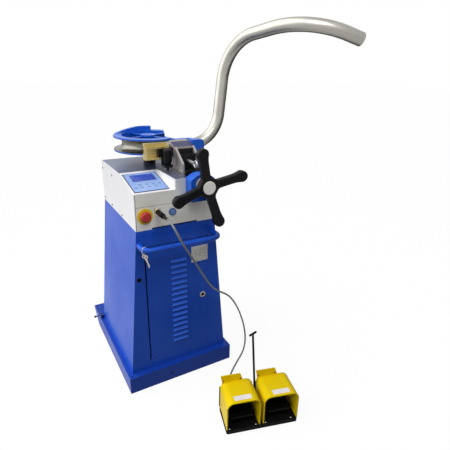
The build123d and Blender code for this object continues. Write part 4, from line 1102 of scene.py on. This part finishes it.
def fin_pattern(name: str, finish: Finish, count: int, radius: float, block: Point) -> Pattern:
    """Describe upright blocks in a ring.

    Args:
        name: Name of the piece.
        finish: Finish of the blocks.
        count: Number of blocks.
        radius: Radius of the ring through their middles.
        block: Size of a block outwards, along the ring and upwards.

    Returns:
        The pattern.
    """
    pattern = Pattern(name, finish, Count=count, Radius=radius, Block=block)
    number = pattern.taken("Count")
    ring = pattern.node("GeometryNodeMeshCircle", {"Vertices": number, "Radius": pattern.taken("Radius")})
    index = pattern.node("GeometryNodeInputIndex").outputs[0]
    turn = pattern.number("MULTIPLY", index, pattern.number("DIVIDE", 2 * math.pi, number))
    about = pattern.node("ShaderNodeCombineXYZ", {"Z": turn}).outputs[0]
    fin = pattern.node("GeometryNodeMeshCube", {"Size": pattern.taken("Block")})
    pattern.close(fin.outputs["Mesh"], ring.outputs["Mesh"], about)
    return pattern


# Sub-assemblies


@dataclass
class PedalCable:
    """Flexible cable from the plug, past the front, over the floor, to the pedal."""

    radius: float = 4 * MM
    sides: int = 4
    exit: Point = (-0.077, -0.385, 0.774)
    length: float = 1.374
    # Control points, in millimetres
    route: tuple[Point, ...] = (
        (-77, -385, 774), (-77, -422, 774), (-70, -448, 749.232), (-50, -450, 704.34), (-12, -432, 642.42),
        (32, -410, 568.89), (76, -387, 494.586), (116, -368, 437.31), (166, -346, 393.192),
        (222, -318, 345.978), (266, -294, 286.38), (308, -268, 215.946), (341, -247, 146.286),
        (364, -236, 82.044), (366, -248, 31.734), (345, -277, 8.514), (308, -315, 4), (262, -350, 4),
        (216, -386, 4), (173, -427, 8.4), (142, -470, 23.1), (110.501, -522.018, 42.0),
        (101.735, -552.793, 42.0),
    )

    def build(self) -> None:
        cable = tube_curve("pedal_cable_run", metres(self.route), self.radius, self.sides)
        coat(cable, CABLE_GREY)
        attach(cable, "frame")
        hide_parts("pedal_cable")
        log.info("cable of %.2f m", self.length)


@dataclass
class Cabinet:
    """Plinth, cabinet, door and what hangs on them."""

    # Lowest and highest X, then lowest and highest Z
    plate_corners: tuple[float, float, float, float] = (0.059, 0.132, 0.531, 0.600)
    plate_thickness: float = 0.8 * MM
    plate_edge: float = 0.25 * MM
    rivet_radius: float = 1.7 * MM
    rivet_height: float = 1.2 * MM
    rivet_inset: float = 4 * MM
    bar_bend_centre: Point = (-0.121, -0.320, 0.652)
    bar_bend: float = 35 * MM
    bar_radius: float = 10 * MM
    tie_radius: float = 1.1 * MM
    tie_sides: int = 3
    tie_gap: float = 1.4 * MM
    tie_turn: float = math.radians(208)
    # Degrees round the bar that the tie passes, then its low points as shares of its reach and drop
    tie_angles: tuple[float, ...] = (-20, 15, 50, 90, 130, 165, 200)
    tie_tails: tuple[Pair, ...] = ((-0.1, 0.85), (0.8, 1.1))
    tie_drop: float = 16 * MM
    # Middle of the bow and tip of each key
    key_runs: tuple[tuple[Point, Point], ...] = (
        ((-0.1570, -0.3470, 0.6330), (-0.1420, -0.3690, 0.5935)),
        ((-0.1510, -0.3515, 0.6300), (-0.1465, -0.3640, 0.5980)),
    )
    key_width_way: Point = (1.0, -0.55, 0.0)
    # Shape of a key in millimetres: thickness, inner and outer radius of the bow, outline of the blade
    key_thickness: float = 1.8
    key_bow: Pair = (3.6, 7.0)
    key_bow_steps: int = 24
    key_blade: tuple[Pair, ...] = (
        (-2, -5), (-2, -38), (-1, -41), (1, -41), (2, -38.5), (1, -36.5), (2.2, -34.5), (1, -32),
        (2.2, -29.5), (1.2, -27), (2.2, -24), (2.2, -5),
    )
    door_edge: float = 0.1325
    door_floor: float = 0.119
    door_ceiling: float = 0.635
    seal_gap: float = 0.4 * MM
    seal_width: float = 2.6 * MM
    seal_back: float = 1.6 * MM
    seal_thickness: float = 1.2 * MM
    seal_edge: float = 0.3 * MM
    seal_start: float = -0.110
    grommet: TurnedPiece = TurnedPiece(
        "front_grommet",
        ((6, -3), (7.8, -3), (7.8, 0), (9, 0.2), (9, 1.4), (8, 2), (6, 1.4), (6, -3)),
        (-0.1634, FRONT_FACE, 0.507), steps=32,
    )
    plinth_plug: TurnedPiece = TurnedPiece(
        "plinth_hole_plug", ((0, 0), (4.13, 0), (5.9, -0.6), (5.9, -2), (0, -2)), (-0.052, -0.3125, 0.032),
    )
    lock_face: TurnedPiece = TurnedPiece(
        "lock_keyhole_disc", ((0, 0.4), (6.4, 0.4), (7.2, 0), (7.2, -0.4), (0, -0.4)),
        (0.108, -0.291, 0.370), body="lock",
    )
    knob_sleeve: TurnedPiece = TurnedPiece(
        "side_knob_sleeve",
        ((0, 11.6), (2.6, 11.4), (4.4, 10.4), (5.4, 8.6), (5.4, 3.4), (4.4, 1.6), (3.2, 0.4), (0, 0)),
        (-0.2445, 0.249, 0.046), out=LEFTWARD,
    )
    finishes: dict[str, Finish] = field(default_factory=lambda: {
        "plinth": SHADED_PLINTH_BLUE, "plinth_fittings": DEEP_BLUE, "cabinet_left_panel": BLUE,
        "cabinet_right_panel": BLUE, "cabinet_rear_panel": BLUE, "cabinet_front_frame": BLUE,
        "cabinet_top_plate": BLUE, "door": DOOR_BLUE, "door_pivots": ZINC, "door_lock": SATIN,
        "grab_bar": BLUE, "mains_inlet": BLACK, "electrical_box": ZINC,
    })

    def build(self) -> None:
        """Dress the solids and add the small pieces."""
        dress(self.finishes)
        self.door_plate()
        self.grommet.build()
        self.key_tie()
        self.door_keys()
        self.plinth_plug.build()
        self.door_seals()
        self.lock_face.build()
        self.knob_sleeve.build()

    def door_plate(self) -> None:
        """Add the bare silver plate and its rivets on the door."""
        x0, x1, z0, z1 = self.plate_corners
        middle = ((x0 + x1) / 2, FRONT_FACE, (z0 + z1) / 2)
        strips = [(middle, x1 - x0, z1 - z0)]
        mesh = wall_strips("door_plate", strips, self.plate_thickness, self.plate_edge)
        add_piece("door_plate", mesh, "door", PLATE_SILVER)
        inset = self.rivet_inset
        spots = [
            (x, FRONT_FACE - self.plate_thickness, z)
            for x in (x0 + inset, x1 - inset) for z in (z0 + inset, z1 - inset)
        ]
        rivets = screw_pattern("door_plate_rivets", ZINC, self.rivet_radius, self.rivet_height, FACE_FORWARD)
        rivets.add("door", "stainless", spots)

    def key_tie(self) -> None:
        """Add the white tie round the grab bar's left bend."""
        up = Vector(UPWARD)
        out = Vector((math.cos(self.tie_turn), math.sin(self.tie_turn), 0.0))
        middle = Vector(self.bar_bend_centre) + self.bar_bend * out
        reach = self.bar_radius + self.tie_gap
        points = []
        for angle in self.tie_angles:
            turn = math.radians(angle)
            points.append(middle + reach * (math.cos(turn) * out + math.sin(turn) * up))
        for share, drop in self.tie_tails:
            points.append(middle + share * reach * out - drop * self.tie_drop * up)
        loop = tube_curve("key_tie_loop", points, self.tie_radius, self.tie_sides)
        loop.data.splines[0].use_cyclic_u = True
        add_piece("key_tie", mesh_of(loop, "key_tie"), "frame", TIE_WHITE)

    def door_keys(self) -> None:
        """Add the two keys that hang on the tie."""
        inner, outer = self.key_bow
        top = self.key_thickness
        bow = [(inner, 0), (outer, 0), (outer, top), (inner, top), (inner, 0)]
        shape = together(lathe(metres(bow), self.key_bow_steps), cut_shape(metres(self.key_blade), top * MM))
        keys = []
        for head, tip in self.key_runs:
            along = Vector(head) - Vector(tip)
            toward = along.cross(Vector(self.key_width_way)).normalized()
            keys.append(mesh_from("key", shape, facing(head, tuple(toward), tuple(along))))
        add_piece("door_keys", joined("door_keys", keys), "frame", KEY_STEEL)

    def door_seals(self) -> None:
        """Add the strips in the gaps at the door's right and lower edges."""
        depth = FRONT_FACE + self.seal_back
        middle = self.seal_gap + self.seal_width / 2
        right = (self.door_edge + middle, depth, (self.door_ceiling + self.door_floor) / 2)
        lower = ((self.door_edge + self.seal_start) / 2, depth, self.door_floor - middle)
        strips = [
            (right, self.seal_width, self.door_ceiling - self.door_floor),
            (lower, self.door_edge - self.seal_start, self.seal_width),
        ]
        mesh = wall_strips("door_seals", strips, self.seal_thickness, self.seal_edge)
        add_piece("door_seals", mesh, "frame", BLUE)


@dataclass
class Head:
    """Head with its panels, console, keypad and controls."""

    half_width: float = 0.163
    slope_start: Point = (0.0, FRONT_FACE, 0.849)
    # Depth and rise of the console's slope
    slope_run: Pair = (0.180, 0.037)
    screw_radius: float = 4.2 * MM
    screw_height: float = 2.2 * MM
    # Y and Z of the screws on each side
    screw_places: tuple[Pair, ...] = (
        (-0.006, 0.855), (0.144, 0.722), (0.030, 0.718), (-0.115, 0.716), (0.144, 0.855),
    )
    # X, and the distance up the slope, here and for the display
    keypad_middle: Pair = (-0.088, 0.0885)
    keypad_size: Pair = (0.134, 0.155)
    keypad_height: float = 1.5 * MM
    keypad_border: float = 3.5 * MM
    film_height: float = 0.4 * MM
    film_corner: float = 3 * MM
    display_middle: Pair = (-0.0865, 0.1215)
    display_pad: Pad = (0.094, 0.056, 0.3 * MM, 2 * MM)
    key_pad: Pad = (10 * MM, 8 * MM, 0.4 * MM, 3 * MM)
    key_pitch: float = 25.4 * MM
    key_columns: int = 4
    # X of each row's first key, and the row's distance up the slope
    key_rows: tuple[Pair, ...] = ((-0.1164, 0.0645), (-0.1385, 0.0450))
    seam_height: float = 0.798
    seam_width: float = 0.8 * MM
    side_seam_width: float = 1.2 * MM
    seam_thickness: float = 0.3 * MM
    seam_edge: float = 0.1 * MM
    panel_edge: float = 0.1594
    panel_bottom: float = 0.707
    panel_top: float = 0.847
    socket_ring: TurnedPiece = TurnedPiece(
        "socket_ring_nut", ((10.4, 0), (13, 0), (13, 3.4), (12.2, 4.2), (10.4, 4.2), (10.4, 0)),
        (-0.077, -0.292, 0.774), finish=SOCKET_BRASS, slot="zinc_steel", steps=32,
    )
    finishes: dict[str, Finish] = field(default_factory=lambda: {
        "head_left_panel": WHITE, "head_right_panel": WHITE, "head_rear_panel": WHITE,
        "console_plate": WHITE, "control_panel": STAINLESS, "upper_front_panel": STAINLESS,
        "table_plate": TABLE_STEEL_PAINTED_REFLECTION, "keypad": KEYPAD_BORDER, "estop_collar": ESTOP_YELLOW,
        "estop_button": ESTOP_RED, "start_bezel": BUTTON_RING, "start_button": BUTTON_BLUE,
        "cable_socket": ZINC, "cable_plug": BLACK,
    })

    def build(self) -> None:
        """Dress the solids and add screws, keypad, seams and the socket's ring nut."""
        dress(self.finishes)
        self.side_screws()
        self.keypad()
        self.panel_seams()
        self.socket_ring.build()

    def slope(self, across: float, along: float, height: float) -> Matrix:
        """Give a place on the console's slope.

        Args:
            across: X of the place.
            along: Distance up the slope.
            height: Height above the slope.

        Returns:
            Matrix with Z out of the slope and Y up it.
        """
        right = Vector((1.0, 0.0, 0.0))
        run = Vector((0.0, *self.slope_run)).normalized()
        out = right.cross(run)
        origin = Vector(self.slope_start) + across * right + along * run + height * out
        return Matrix.Translation(origin) @ Matrix((right, run, out)).transposed().to_4x4()

    def side_screws(self) -> None:
        """Add dark screw heads on the head's side panels."""
        for side, name in ((-1, "left"), (1, "right")):
            turn = (0.0, side * math.pi / 2, 0.0)
            spots = [(side * self.half_width, y, z) for y, z in self.screw_places]
            screws = screw_pattern(
                f"head_screws_{name}", DARK_STEEL, self.screw_radius, self.screw_height, turn
            )
            screws.add("frame", "dark_steel", spots)

    def keypad(self) -> None:
        """Add the keypad's film, its display window and its two rows of keys."""
        width, length = (side - 2 * self.keypad_border for side in self.keypad_size)
        top = self.keypad_height + self.film_height
        keys = [
            (first + column * self.key_pitch, along, 0.0)
            for first, along in self.key_rows for column in range(self.key_columns)
        ]
        film = pad_pattern("keypad_film", KEYPAD_FILM, (width, length, self.film_height, self.film_corner))
        film.add("frame", "keypad_grey", [ORIGIN], self.slope(*self.keypad_middle, self.keypad_height))
        display = pad_pattern("keypad_display", DISPLAY_GLASS, self.display_pad)
        display.add("frame", "keypad_grey", [ORIGIN], self.slope(*self.display_middle, top))
        pads = pad_pattern("keypad_keys", KEYPAD_PAD, self.key_pad)
        pads.add("frame", "keypad_grey", keys, self.slope(0.0, 0.0, top))

    def panel_seams(self) -> None:
        """Add the dark strips in the seams between the front panels."""
        rise = self.panel_top - self.panel_bottom
        middle = (self.panel_top + self.panel_bottom) / 2
        strips = [
            ((side * self.panel_edge, FRONT_FACE, middle), self.side_seam_width, rise) for side in (-1, 1)
        ]
        strips.append(((0.0, FRONT_FACE, self.seam_height), 2 * self.panel_edge, self.seam_width))
        mesh = wall_strips("panel_seams", strips, self.seam_thickness, self.seam_edge)
        add_piece("panel_seams", mesh, "frame", DARK_STEEL)


@dataclass
class Bender:
    """Former, tube, die, carriage, lead screw and handwheel."""

    roof_middle: Point = (0.089, -0.1495, 0.9895)
    roof_size: Point = (0.082, 0.045, 0.8 * MM)
    roof_edge: float = 0.3 * MM
    roof_tilt: float = math.radians(16.1)
    finishes: dict[str, Finish] = field(default_factory=lambda: {
        "former": FORMER, "former_hook": FORMER_BLUE, "former_spacer": DARK_STEEL,
        "bent_tube": TUBE_STEEL, "counter_die": BRASS, "die_holder": DARK_STEEL,
        "die_lock_knob": BLACK, "carriage_frame": SATIN, "carriage_slide": DARK_STEEL,
        "slide_rails": MACHINED, "pull_pin": ZINC, "nut_block": FORMER_BLUE,
        "thrust_flange": SATIN, "lead_screw": MACHINED, "handwheel": BLACK, "hub_cap": CAP_GREY,
    })

    def build(self) -> None:
        """Dress the solids and add the dark plate on the carriage's roof."""
        dress(self.finishes)
        place = Matrix.Translation(self.roof_middle) @ Matrix.Rotation(self.roof_tilt, 4, "X")
        mesh = mesh_from("roof_plate", slab(*self.roof_size, self.roof_edge), place)
        add_piece("carriage_roof_plate", mesh, "carriage", ROOF_STEEL)


@dataclass
class Drive:
    """Gears, shaft and motor inside the cabinet."""

    motor_axis: Pair = (0.015, -0.073)
    fin_count: int = 40
    fin_root: float = 0.0745
    fin_size: Point = (8 * MM, 3 * MM, 0.176)
    fin_middle: float = 0.602
    finishes: dict[str, Finish] = field(default_factory=lambda: {
        "drive_shaft": MACHINED, "drive_gear": MACHINED, "motor_pinion": MACHINED,
        "shaft_bushes": BRASS, "gearbox_plate": ZINC, "gearbox_pillars": MACHINED,
        "motor_housing": MOTOR_GREY, "motor_fan_cover": BLACK,
    })

    def build(self) -> None:
        """Dress the solids and add the motor's cooling fins."""
        dress(self.finishes)
        reach = self.fin_root + self.fin_size[0] / 2
        fins = fin_pattern("motor_fins", MOTOR_GREY, self.fin_count, reach, self.fin_size)
        place = Matrix.Translation((*self.motor_axis, self.fin_middle))
        fins.add("frame", "motor_grey", [ORIGIN], place)


@dataclass
class FootPedal:
    """Twin foot pedal with guards, treadles and carrying handle, in the pedal's own directions."""

    corner: Point = (0.012, -0.678, 0.0)
    turn: float = math.radians(-15.9)
    base_height: float = 18 * MM
    guard_front: float = 3 * MM
    guard_depth: float = 0.118
    guard_heights: Pair = (0.124, 0.120)
    label_size: Point = (0.067, 0.023, 0.4 * MM)
    label_edge: float = 0.15 * MM
    label_places: tuple[Pair, ...] = ((0.0655, 0.026), (0.215, 0.024))
    screw_height: float = 2.2 * MM
    base_screw_radius: float = 3.4 * MM
    base_screw_depth: float = 7 * MM
    base_screws: tuple[float, ...] = (0.012, 0.1157, 0.1546, 0.2574)
    tab_screw_radius: float = 3.0 * MM
    tab_screw_height: float = 0.146
    tab_screws: tuple[float, ...] = (0.0125, 0.082, 0.155, 0.2245)
    tab_face: float = 0.117
    back_edges: tuple[Pair, ...] = ((-0.0015, 0.1325), (0.142, 0.2825))
    back_depth: float = 0.1212
    back_height: float = 0.098
    back_thickness: float = 1.6 * MM
    back_edge: float = 0.5 * MM
    treadle_places: Pair = (0.066, 0.21225)
    treadle_pin: Pair = (0.099, 0.046)
    treadle_tilt: float = math.radians(-6)
    treadle_top: float = 4 * MM
    rib_pad: Pad = (0.084, 3.5 * MM, 1.6 * MM, 1.2 * MM)
    rib_count: int = 8
    rib_pitch: float = 8.5 * MM
    # Distance of the first rib from the pin, in pitches
    first_rib: float = 1.4
    finishes: dict[str, Finish] = field(default_factory=lambda: {
        "pedal_base": BLACK_RUBBER, "pedal_guard_left": YELLOW, "pedal_guard_right": YELLOW,
        "treadle_left": BLACK_RUBBER, "treadle_right": BLACK_RUBBER, "pedal_handle": BLACK,
        "pedal_gland": BLACK,
    })

    def build(self) -> None:
        """Dress the solids and add labels, screws, treads and the plates behind the guards."""
        dress(self.finishes)
        self.labels()
        self.screws()
        self.treads()
        self.back_plates()

    def place(self) -> Matrix:
        """Give the matrix from the pedal's own directions to the scene."""
        return Matrix.Translation(self.corner) @ Matrix.Rotation(self.turn, 4, "Z")

    def labels(self) -> None:
        """Add the bare white labels on the guards."""
        high, low = self.guard_heights
        lean = (low - high) / self.guard_depth
        turn = Matrix.Rotation(math.atan(lean), 4, "X")
        meshes = []
        for across, depth in self.label_places:
            top = self.base_height + high + lean * (depth - self.guard_front)
            place = self.place() @ Matrix.Translation((across, depth, top)) @ turn
            meshes.append(mesh_from("label", slab(*self.label_size, self.label_edge), place))
        add_piece("guard_labels", joined("guard_labels", meshes), "frame", LABEL_WHITE)

    def screws(self) -> None:
        """Add the screws in the base and in the guards' tabs."""
        spots = [(across, self.base_screw_depth, self.base_height) for across in self.base_screws]
        base = screw_pattern("pedal_base_screws", ZINC, self.base_screw_radius, self.screw_height, FACE_UP)
        base.add("frame", "zinc_steel", spots, self.place())
        spots = [(across, self.tab_face, self.tab_screw_height) for across in self.tab_screws]
        tabs = screw_pattern(
            "pedal_tab_screws", DARK_STEEL, self.tab_screw_radius, self.screw_height, FACE_FORWARD
        )
        tabs.add("frame", "dark_steel", spots, self.place())

    def treads(self) -> None:
        """Add the ribs on each treadle."""
        spots = [(0.0, -(index + self.first_rib) * self.rib_pitch, 0.0) for index in range(self.rib_count)]
        tilt = Matrix.Rotation(self.treadle_tilt, 4, "X") @ Matrix.Translation((0.0, 0.0, self.treadle_top))
        for across, side in zip(self.treadle_places, ("left", "right")):
            ribs = pad_pattern(f"treadle_ribs_{side}", BLACK_RUBBER, self.rib_pad)
            place = self.place() @ Matrix.Translation((across, *self.treadle_pin)) @ tilt
            ribs.add(f"pedal_{side}", "black_plastic", spots, place)

    def back_plates(self) -> None:
        """Add the black plate behind each guard, a little wider than the guard."""
        height = self.base_height + self.back_height / 2
        strips = [
            (((left + right) / 2, self.back_depth, height), right - left, self.back_height)
            for left, right in self.back_edges
        ]
        mesh = wall_strips(
            "guard_back_plates", strips, self.back_thickness, self.back_edge, BACKWARD, self.place()
        )
        add_piece("guard_back_plates", mesh, "frame", BLACK_RUBBER)


# Studio


class LampKind(Enum):
    """Kind of lamp."""

    BROAD = "SUN"
    PANEL = "AREA"


@dataclass
class Studio:
    """Floor, light and camera."""

    camera_place: Point = (-0.558, -1.621, 1.274)
    camera_right: Point = (0.8688, -0.4948, 0.0177)
    camera_up: Point = (0.1669, 0.3264, 0.9304)
    lens: float = 32.0
    sensor: float = 36.0
    far_end: float = 200.0
    floor_size: float = 60.0
    floor_albedo: float = 0.09
    floor_glow: float = 0.92
    floor_roughness: float = 0.9
    ambient: float = 0.19
    # Side that gloss sees bright, and where and how far it dims away from that side
    bright_side: Point = (-0.7, -0.3, 0.65)
    dim_start: float = -0.85
    dim_end: float = -0.4
    dim_floor: float = 0.0
    dim_world: float = 0.05
    key_toward: Point = (-0.9, 0.4, 0.68)
    key_spread: float = math.radians(85.0)
    key_strength: float = 3.3
    panel_place: Point = (-0.2, -1.4, 2.35)
    panel_target: Point = (0.0, -0.3, 0.8)
    panel_size: float = 1.0
    panel_power: float = 19.0

    def build(self) -> None:
        """Set the camera, the floor, the lamps and the world."""
        self.camera()
        self.floor()
        self.lamps()
        self.world()
        bpy.context.scene.view_settings.view_transform = "Standard"

    def camera(self) -> None:
        """Put the camera where the photograph was taken from."""
        data = bpy.data.cameras.new("photo_camera")
        data.lens = self.lens
        data.sensor_width = self.sensor
        data.clip_end = self.far_end
        right = Vector(self.camera_right).normalized()
        back = right.cross(Vector(self.camera_up)).normalized()
        up = back.cross(right).normalized()
        eye = show("photo_camera", data)
        turn = Matrix((right, up, back)).transposed().to_4x4()
        eye.matrix_world = Matrix.Translation(self.camera_place) @ turn
        bpy.context.scene.camera = eye

    def shown(self, builder: TreeBuilder, low: float) -> Socket:
        """Mark the rays that see the surroundings directly, in gloss or through glass.

        Args:
            builder: Builder of the tree to add the nodes to.
            low: Value in gloss on the dim side, to the right, below and behind.

        Returns:
            1 for those rays, less in gloss on the dim side, 0 for the light that falls on the object.
        """
        path = builder.node("ShaderNodeLightPath").outputs
        side = builder.vector("DOT_PRODUCT", builder.place(), self.bright_side)
        level = builder.ranged(side, low, 1.0, self.dim_start, self.dim_end)
        gloss = builder.number("MULTIPLY", path["Is Glossy Ray"], level)
        direct = builder.number("MAXIMUM", path["Is Camera Ray"], path["Is Transmission Ray"])
        return builder.number("MAXIMUM", direct, gloss)

    def floor(self) -> None:
        """Lay a white floor that keeps the shadow."""
        half = self.floor_size / 2
        corners = [(-half, -half, 0), (half, -half, 0), (half, half, 0), (-half, half, 0)]
        mesh = bpy.data.meshes.new("floor")
        mesh.from_pydata(corners, [], [(0, 1, 2, 3)])
        surface = Surface("floor_white")
        surface.set(
            Base_Color=opaque((self.floor_albedo,) * 3), Roughness=self.floor_roughness,
            Specular_IOR_Level=0.0, Emission_Color=PLAIN_WHITE,
            Emission_Strength=surface.ranged(self.shown(surface, self.dim_floor), 0.0, self.floor_glow),
        )
        mesh.materials.append(surface.material)
        show("floor", mesh)

    def lamp(self, name: str, kind: LampKind, place: Point, toward: Vector, **settings: float) -> None:
        """Hang one lamp.

        Args:
            name: Name of the lamp.
            kind: Kind of the lamp.
            place: Where it hangs.
            toward: Direction from the object to the lamp.
            settings: Its size and strength.
        """
        data = bpy.data.lights.new(name, kind.value)
        for key, value in settings.items():
            setattr(data, key, value)
        turn = toward.to_track_quat("Z", "Y").to_matrix().to_4x4()
        show(name, data).matrix_world = Matrix.Translation(place) @ turn

    def lamps(self) -> None:
        """Add the broad light from the left and above, and the weak panel in front."""
        self.lamp(
            "key_light", LampKind.BROAD, ORIGIN, Vector(self.key_toward),
            angle=self.key_spread, energy=self.key_strength,
        )
        self.lamp(
            "front_light", LampKind.PANEL, self.panel_place,
            Vector(self.panel_place) - Vector(self.panel_target),
            size=self.panel_size, energy=self.panel_power,
        )

    def world(self) -> None:
        """Give an even white surrounding that shows as the background."""
        world = bpy.data.worlds.new("surround")
        world.use_nodes = True
        builder = TreeBuilder(world.node_tree)
        light = world.node_tree.nodes["Background"]
        level = builder.ranged(self.shown(builder, self.dim_world), self.ambient, 1.0)
        builder.feed(light.inputs["Color"], PLAIN_WHITE)
        builder.feed(light.inputs["Strength"], level)
        bpy.context.scene.world = world


def main() -> None:
    """Build the studio, the cable and each sub-assembly."""
    logging.basicConfig(level=logging.INFO)
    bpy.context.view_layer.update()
    Studio().build()
    PedalCable().build()
    for assembly in (Cabinet(), Head(), Bender(), Drive(), FootPedal()):
        assembly.build()
        log.info("%s done", type(assembly).__name__)


if __name__ == "__main__":
    main()
